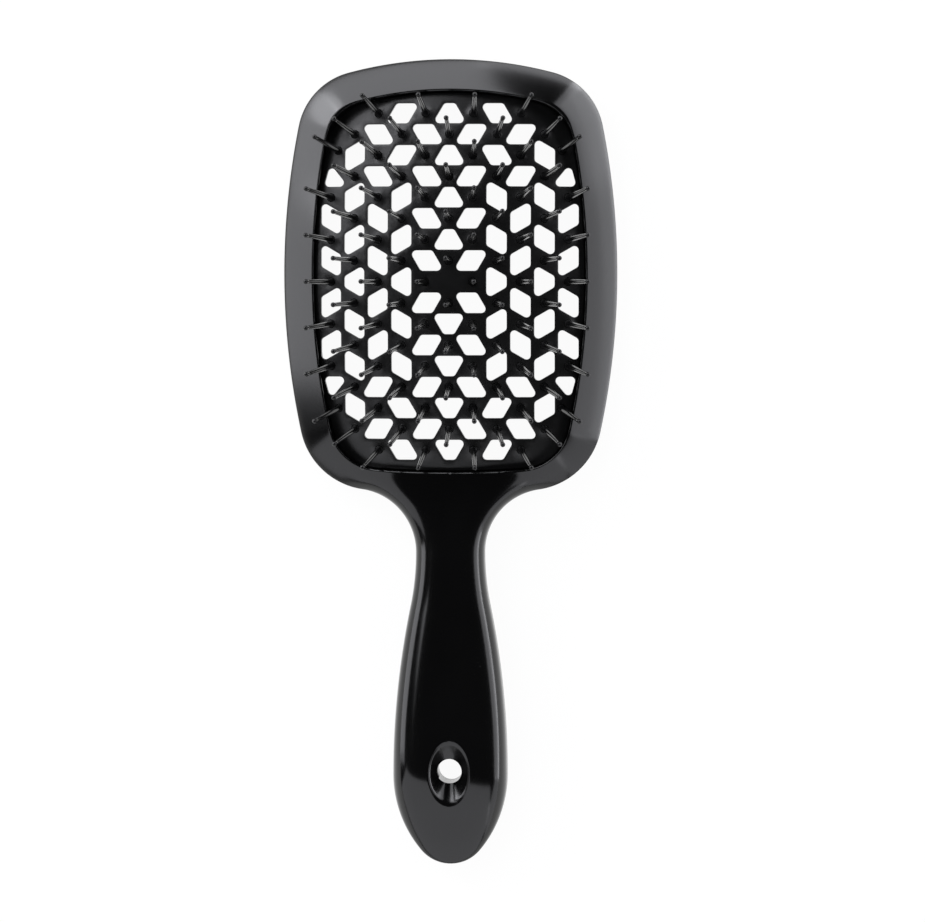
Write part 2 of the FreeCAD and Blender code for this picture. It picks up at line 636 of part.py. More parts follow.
pin_profile = doc.addObject("Sketcher::SketchObject", "pin_profile")
pin_profile.Placement = FreeCAD.Placement(FreeCAD.Vector(), UPRIGHT)
ball = V["ball_radius"]
foot_radius = V["pin_foot_radius"]
neck_radius = V["pin_neck_radius"]
tip = V["tip_radius"]
tip_z = V["pin_root_depth"] + V["pin_length"] - tip
foot_z = math.sqrt(ball ** 2 - foot_radius ** 2)
neck_z = tip_z - math.sqrt(tip ** 2 - neck_radius ** 2)
quarter = math.pi / 2.0
ball_ring = Part.Circle(FreeCAD.Vector(), FreeCAD.Vector(0.0, 0.0, 1.0), ball)
tip_ring = Part.Circle(FreeCAD.Vector(0.0, tip_z, 0.0), FreeCAD.Vector(0.0, 0.0, 1.0), tip)
pin_profile.addGeometry(Part.ArcOfCircle(ball_ring, -quarter, math.atan2(foot_z, foot_radius)), False)
pin_profile.addGeometry(Part.LineSegment(FreeCAD.Vector(foot_radius, foot_z, 0.0),
                                         FreeCAD.Vector(neck_radius, neck_z, 0.0)), False)
pin_profile.addGeometry(Part.ArcOfCircle(tip_ring, math.atan2(neck_z - tip_z, neck_radius), quarter), False)
pin_profile.addGeometry(Part.LineSegment(FreeCAD.Vector(0.0, tip_z + tip, 0.0),
                                         FreeCAD.Vector(0.0, -ball, 0.0)), False)
for first, second in ((0, 1), (1, 2), (2, 3), (3, 0)):
    pin_profile.addConstraint(Sketcher.Constraint("Coincident", first, 2, second, 1))
for piece, radius, rule in ((0, ball, "sizes.ball_radius"), (2, tip, "sizes.tip_radius")):
    row = pin_profile.addConstraint(Sketcher.Constraint("Radius", piece, radius))
    pin_profile.setExpression("Constraints[%d]" % row, rule)
pin = doc.addObject("Part::Revolution", "pin")
pin.Source = pin_profile
pin.Axis = FreeCAD.Vector(0.0, 0.0, 1.0)
pin.Angle = 360.0
pin.Solid = True
socket = doc.addObject("Part::Sphere", "socket")
socket.setExpression("Radius", "sizes.ball_radius + sizes.socket_gap")

groups = {}
for column, row in lattice(1):
    groups.setdefault((column, zone_of(column, row)), []).append(row)
for side in (-5, 5):
    groups[(side, 0)].insert(0, -6)
    groups[(side, 2)].append(6)

UP = FreeCAD.Vector(0.0, 0.0, 1.0)
pin_groups = []
sockets = []
for (column, zone), rows in sorted(groups.items()):
    name = "pins_%s_%s" % (COLUMN_NAMES[column], ZONE_NAMES[zone])
    places = [on_dome(*pin_place(column, row)) for row in sorted(rows)]
    roots = straightened([point - normal * V["pin_root_depth"] for point, normal in places])
    copies = []
    for number, (root, (point, normal)) in enumerate(zip(roots, places)):
        spin = FreeCAD.Rotation(UP, normal)
        copies.append(copy_of(pin, "pin_%s_%d" % (name, number), root, spin))
        sockets.append(copy_of(socket, "socket_%s_%d" % (name, number), root, spin))
    pin_groups.append(compound(name, copies))

pad_grid = boolean("Part::Cut", "pad_grid", [pad_blank, vents])
vented_pad = boolean("Part::Cut", "vented_pad", [pad_grid, compound("sockets", sockets)])

doc.recompute()
for item in doc.Objects:
    if "Invalid" in item.State or "Error" in item.State:
        raise RuntimeError("%s does not build: %s" % (item.Name, item.State))

os.makedirs("parts", exist_ok=True)
for node in [front_shell, back_shell, vented_pad] + pin_groups:
    node.Label = node.Name
    shape = node.Shape
    if shape.isNull() or not shape.isValid():
        raise RuntimeError("%s is not a valid solid" % node.Name)
    box = shape.optimalBoundingBox(False)
    print("%-26s solids %d volume %9.1f  x %.1f %.1f  y %.1f %.1f  z %.2f %.2f" % (
        node.Name, len(shape.Solids), shape.Volume,
        box.XMin, box.XMax, box.YMin, box.YMax, box.ZMin, box.ZMax))
    shape.exportStep("parts/%s.step" % node.Label)
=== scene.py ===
import logging
import math
from dataclasses import dataclass, field
from enum import Enum

import bpy
import numpy as np
from mathutils import Matrix, Vector
from mathutils.geometry import delaunay_2d_cdt


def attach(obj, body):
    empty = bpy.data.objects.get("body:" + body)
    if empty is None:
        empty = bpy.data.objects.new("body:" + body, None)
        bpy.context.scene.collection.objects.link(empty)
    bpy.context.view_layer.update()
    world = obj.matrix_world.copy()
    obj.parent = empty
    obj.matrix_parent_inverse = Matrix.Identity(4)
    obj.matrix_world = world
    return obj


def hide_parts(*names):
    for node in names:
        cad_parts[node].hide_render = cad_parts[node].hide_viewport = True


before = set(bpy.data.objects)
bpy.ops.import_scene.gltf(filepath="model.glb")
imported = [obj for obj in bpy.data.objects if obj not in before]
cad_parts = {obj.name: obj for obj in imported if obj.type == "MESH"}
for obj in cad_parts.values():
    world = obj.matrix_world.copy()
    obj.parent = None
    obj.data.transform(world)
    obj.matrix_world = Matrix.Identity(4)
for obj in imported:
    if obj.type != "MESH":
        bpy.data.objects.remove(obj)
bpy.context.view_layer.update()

# Vented detangling brush: glossy shells, a satin vented pad and slim pins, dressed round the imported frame.
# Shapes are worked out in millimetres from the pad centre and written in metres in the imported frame.

log = logging.getLogger("brush")
Points = np.ndarray
Feed = bpy.types.NodeSocket | float | tuple[float, ...]
MM = 0.001
FAR = 1.0e6
QUARTER = math.pi / 2.0
BODY = "brush"


class Slot(Enum):
    """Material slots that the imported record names."""

    SHELL = "shell"
    PAD = "pad"
    PINS = "pins"


class VentForm(Enum):
    """Plan forms of the vents in the pad."""

    RHOMBUS = "rhombus"
    WEDGE = "wedge"
    CORNER = "corner"


class Zone(Enum):
    """Thirds of a pin column, from the handle side to the top of the head."""

    LOWER = 0
    MIDDLE = 1
    UPPER = 2


class LampShape(Enum):
    """Shapes of a lamp's face."""

    BOX = "RECTANGLE"
    OVAL = "ELLIPSE"


class Blend(Enum):
    """What a blend node mixes."""

    NUMBER = "FLOAT"
    COLOUR = "RGBA"


def wrap(angle: Points) -> Points:
    """Angles brought into the half-open turn from minus to plus half a turn."""
    return (angle + math.pi) % (2.0 * math.pi) - math.pi


def ease(value: Points, low: float, high: float) -> Points:
    """Share from 0 at one value to 1 at another: 3 s squared - 2 s cubed, s the place between them."""
    share = np.clip((value - low) / (high - low), 0.0, 1.0)
    return share * share * (3.0 - 2.0 * share)


def rounding(gap: Points, reach: float, drop: float) -> Points:
    """Height taken off beside an edge: drop (1 - gap / reach) squared, and nothing past the reach."""
    return drop * np.clip(1.0 - gap / reach, 0.0, 1.0) ** 2


def lift(plan: Points, height: Points) -> Points:
    """Plan points and their heights as points in space."""
    return np.concatenate([plan, np.broadcast_to(height, plan.shape[:-1])[..., None]], axis=-1)


def rays(angle: Points) -> Points:
    """Unit plan vectors (cos a, sin a) at given angles."""
    return np.stack([np.cos(angle), np.sin(angle)], axis=-1)


def between(first: Points, last: Points, share: Points) -> Points:
    """Points on straight lines: (1 - s) first + s last."""
    return first * (1.0 - share) + last * share


def smooth_curve(place: Points, knots: Points, values: Points) -> Points:
    """Cubic curve through knots, with slopes from the neighbouring knots.

    Formula: the cubic Hermite sum of two knot values and two knot slopes in each span.

    Args:
        place: where the curve is read.
        knots: rising knot places.
        values: curve values at the knots.

    Returns:
        Curve values, held flat past the end knots.
    """
    slopes = np.gradient(values, knots)
    place = np.clip(place, knots[0], knots[-1])
    span = np.clip(np.searchsorted(knots, place, side="right") - 1, 0, len(knots) - 2)
    width = knots[span + 1] - knots[span]
    t = (place - knots[span]) / width
    rise = t * t * (3.0 - 2.0 * t)
    lead = t * (1.0 - t) ** 2 * width * slopes[span]
    trail = t * t * (t - 1.0) * width * slopes[span + 1]
    return values[span] * (1.0 - rise) + values[span + 1] * rise + lead + trail


def side_axes(square: Points) -> tuple[Points, Points]:
    """Two directions across each given one and square to each other.

    Args:
        square: unit directions, none of them along the brush.

    Returns:
        Directions across the brush, and directions square to both.
    """
    first = np.cross([0.0, 1.0, 0.0], square)
    first /= np.linalg.norm(first, axis=1, keepdims=True)
    return first, np.cross(square, first)


def add_object(name: str, data: bpy.types.ID) -> bpy.types.Object:
    """Puts a mesh, lamp or camera into the scene.

    Args:
        name: name of the object.
        data: what it holds.

    Returns:
        The new object, at the origin.
    """
    made = bpy.data.objects.new(name, data)
    bpy.context.scene.collection.objects.link(made)
    return made


@dataclass(frozen=True)
class Arc:
    """One arc of an outline: centre, radius and whether the outline bulges there."""

    x: float
    y: float
    radius: float
    bulge: bool = True

    def touch(self, other: "Arc") -> tuple[float, float]:
        """Point where this arc touches the next one.

        Args:
            other: the next arc.

        Returns:
            Place of the point.
        """
        across, along = other.x - self.x, other.y - self.y
        gap = math.hypot(across, along)
        inside = self.bulge == other.bulge and self.radius < other.radius
        reach = -self.radius if inside else self.radius
        return self.x + across / gap * reach, self.y + along / gap * reach

    def inset(self, amount: float) -> "Arc":
        """The same arc moved inwards by an amount."""
        return Arc(self.x, self.y, self.radius + (-amount if self.bulge else amount), self.bulge)


def meeting_arc(radius: float, first: Arc, reach_first: float, second: Arc, reach_second: float) -> Arc:
    """Arc of a given radius whose centre lies set distances from two others, on the right.

    Args:
        radius: radius of the new arc.
        first: first neighbour.
        reach_first: distance of the new centre from the first centre.
        second: second neighbour.
        reach_second: distance of the new centre from the second centre.

    Returns:
        The arc that touches both neighbours.
    """
    across, along = second.x - first.x, second.y - first.y
    gap = math.hypot(across, along)
    base = (reach_first**2 - reach_second**2 + gap**2) / (2.0 * gap)
    aside = math.sqrt(reach_first**2 - base**2)
    places = []
    for side in (aside, -aside):
        x = first.x + (base * across - side * along) / gap
        places.append((x, first.y + (base * along + side * across) / gap))
    return Arc(*max(places), radius)


class ArcChain:
    """Right half of a mirrored outline: touching arcs from its top round to its foot."""

    slack = 0.002

    def __init__(self, arcs: list[Arc], first: tuple[float, float], last: tuple[float, float]) -> None:
        """Works out where each arc starts and how far it sweeps.

        Args:
            arcs: touching arcs in order.
            first: top of the outline.
            last: foot of the outline.
        """
        self.arcs = arcs
        self.first, self.last = first, last
        joints = np.array([first] + [a.touch(b) for a, b in zip(arcs, arcs[1:])] + [last])
        self.centre = np.array([(a.x, a.y) for a in arcs])
        self.radius = np.array([a.radius for a in arcs])
        begin, end = joints[:-1] - self.centre, joints[1:] - self.centre
        self.start = np.arctan2(begin[:, 1], begin[:, 0])
        self.sweep = wrap(np.arctan2(end[:, 1], end[:, 0]) - self.start)
        self.reach = np.concatenate([[0.0], np.cumsum(np.abs(self.sweep) * self.radius)])

    def run_to(self, arc: int, share: float) -> float:
        """Length of the outline up to a share of one arc."""
        return float(self.reach[arc] + share * (self.reach[arc + 1] - self.reach[arc]))

    def at(self, run: Points) -> Points:
        """Points on the outline: centre + radius (cos a, sin a) on the arc that holds each.

        Args:
            run: lengths along the outline.

        Returns:
            Plan points.
        """
        arc = np.clip(np.searchsorted(self.reach, run, side="right") - 1, 0, len(self.radius) - 1)
        share = (run - self.reach[arc]) / (self.reach[arc + 1] - self.reach[arc])
        return self.centre[arc] + self.radius[arc, None] * rays(self.start[arc] + share * self.sweep[arc])

    def gap(self, plan: Points) -> Points:
        """Distance to the outline: the least of | |p - c| - r | over the arcs that face each point.

        Args:
            plan: plan points on either side of the brush.

        Returns:
            Distances.
        """
        across = np.abs(plan[..., :1]) - self.centre[:, 0]
        along = plan[..., 1:2] - self.centre[:, 1]
        share = wrap(np.arctan2(along, across) - self.start) / self.sweep
        gap = np.abs(np.hypot(across, along) - self.radius)
        facing = (share > -self.slack) & (share < 1.0 + self.slack)
        return np.where(facing, gap, FAR).min(axis=-1)

    def inset(self, amount: float) -> "ArcChain":
        """The outline moved inwards.

        Args:
            amount: how far it moves.

        Returns:
            The new outline.
        """
        first = (self.first[0], self.first[1] - amount)
        last = (self.last[0], self.last[1] + amount)
        return ArcChain([arc.inset(amount) for arc in self.arcs], first, last)

    def loop(self, count: int) -> Points:
        """Whole closed outline, both halves, counter-clockwise.

        Args:
            count: even steps on each half.

        Returns:
            Plan points.
        """
        right = self.at(np.linspace(0.0, self.reach[-1], count + 1))
        left = right[1:-1][::-1] * (-1.0, 1.0)
        return np.concatenate([right, left])[::-1]


@dataclass(frozen=True)
class BrushPlan:
    """Plan sizes of the brush, in millimetres from the pad centre."""

    head_top: float = 56.6
    head_half: float = 42.5
    head_side_rise: float = 1.9
    head_top_radius: float = 102.0
    head_side_radius: float = 192.0
    head_corner_radius: float = 17.5
    head_foot_radius: float = 18.8
    shoulder_radius: float = 16.2
    neck_half: float = 8.8
    neck_drop: float = 69.0
    throat_radius: float = 68.0
    grip_half: float = 14.6
    grip_drop: float = 126.0
    tail_drop: float = 149.0
    tail_radius: float = 9.8
    opening_half: float = 34.6
    opening_top: float = 48.3
    opening_foot: float = 48.4
    opening_top_radius: float = 94.0
    opening_side_radius: float = 184.0
    opening_foot_radius: float = 300.0
    opening_corner_radius: float = 12.5
    hang_drop: float = 124.6
    hang_radius: float = 3.15
    scoop_drop: float = 125.0
    scoop_half: float = 5.1
    scoop_reach: float = 8.05
    parting: float = 4.5

    @property
    def head_y(self) -> float:
        """Pad centre above the middle of the whole outline."""
        return (self.tail_drop - self.head_top) / 2.0

    def outline(self) -> ArcChain:
        """Outline of head, shoulders and handle.

        Returns:
            Arcs from the top of the head to the end of the handle.
        """
        top = Arc(0.0, self.head_top - self.head_top_radius, self.head_top_radius)
        side = Arc(self.head_half - self.head_side_radius, self.head_side_rise, self.head_side_radius)
        bend = self.head_corner_radius
        corner = meeting_arc(bend, top, top.radius - bend, side, side.radius - bend)
        hollow = Arc(self.neck_half + self.shoulder_radius, -self.neck_drop, self.shoulder_radius, False)
        bend = self.head_foot_radius
        foot = meeting_arc(bend, side, side.radius - bend, hollow, hollow.radius + bend)
        throat = Arc(self.neck_half + self.throat_radius, -self.neck_drop, self.throat_radius, False)
        reach, drop = throat.x - self.grip_half, self.grip_drop - self.neck_drop
        bend = (reach**2 + drop**2 - throat.radius**2) / (2.0 * (throat.radius - reach))
        grip = Arc(self.grip_half - bend, -self.grip_drop, bend)
        tail = Arc(0.0, self.tail_radius - self.tail_drop, self.tail_radius)
        rise = tail.y + self.grip_drop
        bend = (self.grip_half**2 + rise**2 - tail.radius**2) / (2.0 * (self.grip_half - tail.radius))
        flank = Arc(self.grip_half - bend, -self.grip_drop, bend)
        arcs = [top, corner, side, foot, hollow, throat, grip, flank, tail]
        return ArcChain(arcs, (0.0, self.head_top), (0.0, -self.tail_drop))

    def opening(self) -> ArcChain:
        """Outline of the frame opening.

        Returns:
            Arcs from its top to its foot.
        """
        foot = Arc(0.0, self.opening_foot_radius - self.opening_foot, self.opening_foot_radius)
        bend = self.opening_side_radius
        side = Arc(self.opening_half - bend, self.head_side_rise, bend)
        top = Arc(0.0, self.opening_top - self.opening_top_radius, self.opening_top_radius)
        bend = self.opening_corner_radius
        low = meeting_arc(bend, foot, foot.radius - bend, side, side.radius - bend)
        high = meeting_arc(bend, top, top.radius - bend, side, side.radius - bend)
        return ArcChain([top, high, side, low, foot], (0.0, self.opening_top), (0.0, -self.opening_foot))

    def scoop_share(self, plan: Points) -> Points:
        """Place of plan points in the scoop's ellipse: 0 at its centre and 1 on its rim."""
        return np.hypot(plan[..., 0] / self.scoop_half, (plan[..., 1] + self.scoop_drop) / self.scoop_reach)


PLAN = BrushPlan()


def strip_quads(count: int, rows: int, flip: bool, closed: bool = False) -> Points:
    """Corner numbers of a grid's quads.

    Args:
        count: columns of the grid.
        rows: points in each column.
        flip: True turns the faces round.
        closed: True joins the last column to the first.

    Returns:
        One row of four corner numbers for each quad.
    """
    column = np.arange(count if closed else count - 1)[:, None]
    row = np.arange(rows - 1)[None, :]
    after = (column + 1) % count
    corners = [column * rows + row, column * rows + row + 1, after * rows + row + 1, after * rows + row]
    quads = np.stack(corners, axis=-1).reshape(-1, 4)
    return quads[:, ::-1] if flip else quads


@dataclass
class Skin:
    """Surface patches gathered in millimetres and welded into one closed mesh."""

    points: list[Points] = field(default_factory=list)
    faces: list[Points] = field(default_factory=list)
    count: int = 0
    weld_digits: int = 5

    def add(self, points: Points, faces: Points) -> None:
        """Adds a patch.

        Args:
            points: points in space.
            faces: corner numbers, counted from nought.
        """
        points = points.reshape(-1, 3)
        self.points.append(points)
        self.faces.append(faces + self.count)
        self.count += len(points)

    def add_grid(
        self, grid: Points, flip: bool = False, closed: bool = False, mirror: bool = False
    ) -> None:
        """Adds a grid of points.

        Args:
            grid: points by column and row.
            flip: True turns the faces round.
            closed: True joins the last column to the first.
            mirror: True adds the mirror image across the middle of the brush too.
        """
        count, rows = grid.shape[:2]
        self.add(grid, strip_quads(count, rows, flip, closed))
        if mirror:
            self.add(grid * (-1.0, 1.0, 1.0), strip_quads(count, rows, not flip, closed))

    def polygons(self, back: Points) -> list[list[int]]:
        """Faces after the weld: quads with a side of no length become triangles, and slivers go.

        Args:
            back: welded number of each gathered point.

        Returns:
            Corner numbers of each face.
        """
        blocks: list[Points] = []
        for faces in self.faces:
            faces = back[faces]
            if faces.shape[1] == 4:
                for corner in range(4):
                    same = faces[:, corner] == faces[:, (corner + 1) % 4]
                    blocks.append(np.delete(faces[same], corner, axis=1))
                    faces = faces[~same]
            blocks.append(faces)
        whole = [(np.diff(np.sort(block, axis=1), axis=1) != 0).all(axis=1) for block in blocks]
        return [polygon for block, keep in zip(blocks, whole) for polygon in block[keep].tolist()]

    def mesh(self, name: str, crease: float) -> bpy.types.Object:
        """Welds the patches and makes the piece.

        Args:
            name: name of the piece.
            crease: angle in degrees past which an edge stays sharp.

        Returns:
            The new object, at the origin, in metres.
        """
        points = np.round(np.concatenate(self.points), self.weld_digits) + 0.0
        points, back = np.unique(points, axis=0, return_inverse=True)
        polygons = self.polygons(back.reshape(-1))
        mesh = bpy.data.meshes.new(name)
        mesh.from_pydata(((points + (0.0, PLAN.head_y, 0.0)) * MM).tolist(), [], polygons)
        mesh.validate()
        mesh.polygons.foreach_set("use_smooth", np.ones(len(mesh.polygons), dtype=bool))
        mesh.set_sharp_from_angle(angle=math.radians(crease))
        mesh.update()
        log.info("%s: %d points, %d faces", name, len(points), len(polygons))
        return add_object(name, mesh)


class Graph:
    """Node tree with short calls for the nodes that the finishes and the studio share."""

    def __init__(self, tree: bpy.types.NodeTree) -> None:
        """Keeps the nodes and links of the tree."""
        self.nodes, self.links = tree.nodes, tree.links

    def feed(self, socket: bpy.types.NodeSocket, value: Feed) -> None:
        """Links a socket to another one, or sets it.

        Args:
            socket: socket of a node's input.
            value: another socket, a number or a colour.
        """
        if isinstance(value, bpy.types.NodeSocket):
            self.links.new(value, socket)
        else:
            socket.default_value = value

    def make(self, kind: str, **feeds: Feed) -> bpy.types.Node:
        """New node with its inputs fed.

        Args:
            kind: Blender's name of the node.
            feeds: values by input name, with underscores for spaces.

        Returns:
            The node.
        """
        node = self.nodes.new(kind)
        for name, value in feeds.items():
            self.feed(node.inputs[name.replace("_", " ")], value)
        return node

    def math(self, operation: str, *values: Feed) -> bpy.types.NodeSocket:
        """Result of a math node.

        Args:
            operation: Blender's name of the sum.
            values: numbers or sockets.

        Returns:
            Output socket.
        """
        node = self.nodes.new("ShaderNodeMath")
        node.operation = operation
        for socket, value in zip(node.inputs, values):
            self.feed(socket, value)
        return node.outputs[0]

    def blend(self, share: Feed, low: Feed, high: Feed, kind: Blend = Blend.NUMBER) -> bpy.types.NodeSocket:
        """Number or colour between two others.

        Args:
            share: 0 gives the first, 1 the second.
            low: first value.
            high: second value.
            kind: what is mixed.

        Returns:
            Output socket.
        """
        node = self.nodes.new("ShaderNodeMix")
        node.data_type = kind.value
        for name, value in (("Factor", share), ("A", low), ("B", high)):
            self.feed(node.inputs[name], value)
        return node.outputs["Result"]

    def noise(self, place: Feed, scale: float, detail: float) -> bpy.types.NodeSocket:
        """Noise from 0 to 1 with a scale per metre."""
        return self.make("ShaderNodeTexNoise", Vector=place, Scale=scale, Detail=detail).outputs[0]

    def bump(self, height: Feed, depth: float, **under: Feed) -> bpy.types.NodeSocket:
        """Normal of a bump of a depth in millimetres, over another normal if one is given."""
        return self.make("ShaderNodeBump", Height=height, Distance=depth * MM, **under).outputs[0]


@dataclass(frozen=True)
class PlasticFinish:
    """Moulded black plastic: deep tone, uneven gloss, surface grain, slow ripple and sparse dust."""

    name: str
    tone: tuple[float, float, float]
    haze: tuple[float, float, float]
    gloss: tuple[float, float]
    grain_scale: float
    grain_depth: float
    ripple_scale: float
    ripple_depth: float
    dust_scale: float
    dust_share: float
    dust_size: float = 0.045
    cloud_share: float = 0.12
    cloud_size: float = 0.5
    cloud_range: tuple[float, float] = (0.3, 0.7)
    cloud_detail: float = 3.0
    ripple_detail: float = 1.0
    grain_detail: float = 2.0
    ior: float = 1.5

    def material(self) -> bpy.types.Material:
        """Node material on Object coordinates.

        Returns:
            The finished material, made once for each finish.
        """
        found = bpy.data.materials.get(self.name)
        if found is not None:
            return found
        material = bpy.data.materials.new(self.name)
        material.use_nodes = True
        graph = Graph(material.node_tree)
        place = graph.make("ShaderNodeTexCoord").outputs["Object"]
        cloud = graph.noise(place, self.ripple_scale * self.cloud_size, self.cloud_detail)
        share = graph.math("MULTIPLY_ADD", cloud, self.cloud_share, self.dust(graph, place))
        low, high = self.cloud_range
        dull = graph.make("ShaderNodeMapRange", Value=cloud, From_Min=low, From_Max=high,
                          To_Min=self.gloss[0], To_Max=self.gloss[1])
        ripple = graph.noise(place, self.ripple_scale, self.ripple_detail)
        grain = graph.noise(place, self.grain_scale, self.grain_detail)
        slow = graph.bump(ripple, self.ripple_depth)
        fine = graph.bump(grain, self.grain_depth, Normal=slow)
        colour = graph.blend(share, (*self.tone, 1.0), (*self.haze, 1.0), Blend.COLOUR)
        shader = graph.nodes["Principled BSDF"]
        shader.inputs["IOR"].default_value = self.ior
        graph.feed(shader.inputs["Base Color"], colour)
        graph.feed(shader.inputs["Roughness"], dull.outputs[0])
        graph.feed(shader.inputs["Normal"], fine)
        return material

    def dust(self, graph: Graph, place: Feed) -> bpy.types.NodeSocket:
        """Sparse specks: cells whose distance to their centre is tiny, kept where a random value is low.

        Args:
            graph: node tree of the finish.
            place: coordinates.

        Returns:
            Socket that is 1 on a speck and 0 elsewhere.
        """
        cells = graph.make("ShaderNodeTexVoronoi", Vector=place, Scale=self.dust_scale)
        chance = graph.make("ShaderNodeSeparateColor", Color=cells.outputs["Color"]).outputs[0]
        near = graph.math("LESS_THAN", cells.outputs["Distance"], self.dust_size)
        return graph.math("MULTIPLY", near, graph.math("LESS_THAN", chance, self.dust_share))


GLOSS_SHELL = PlasticFinish(
    name="polished_black_shell", tone=(0.0009, 0.0009, 0.00095), haze=(0.012, 0.012, 0.0125),
    gloss=(0.12, 0.18), grain_scale=2600.0, grain_depth=0.0012, ripple_scale=55.0, ripple_depth=0.012,
    dust_scale=260.0, dust_share=0.10,
)
SATIN_PAD = PlasticFinish(
    name="satin_black_nylon", tone=(0.003, 0.003, 0.0031), haze=(0.02, 0.02, 0.021),
    gloss=(0.27, 0.36), grain_scale=3800.0, grain_depth=0.010, ripple_scale=120.0, ripple_depth=0.01,
    dust_scale=420.0, dust_share=0.04,
)
SMOOTH_PINS = PlasticFinish(
    name="smooth_black_pins", tone=(0.002, 0.002, 0.0021), haze=(0.02, 0.02, 0.021),
    gloss=(0.13, 0.19), grain_scale=3000.0, grain_depth=0.003, ripple_scale=300.0, ripple_depth=0.01,
    dust_scale=500.0, dust_share=0.02, ior=1.38,
)


def dress(piece: bpy.types.Object, finish: PlasticFinish, slot: Slot, body: str, node: str) -> None:
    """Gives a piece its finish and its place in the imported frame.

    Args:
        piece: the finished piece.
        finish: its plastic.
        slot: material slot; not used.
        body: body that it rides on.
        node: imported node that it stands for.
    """
    piece.data.materials.append(finish.material())
    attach(piece, body)
    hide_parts(node)
    log.info("%s rides on %s and stands for %s", piece.name, body, node)


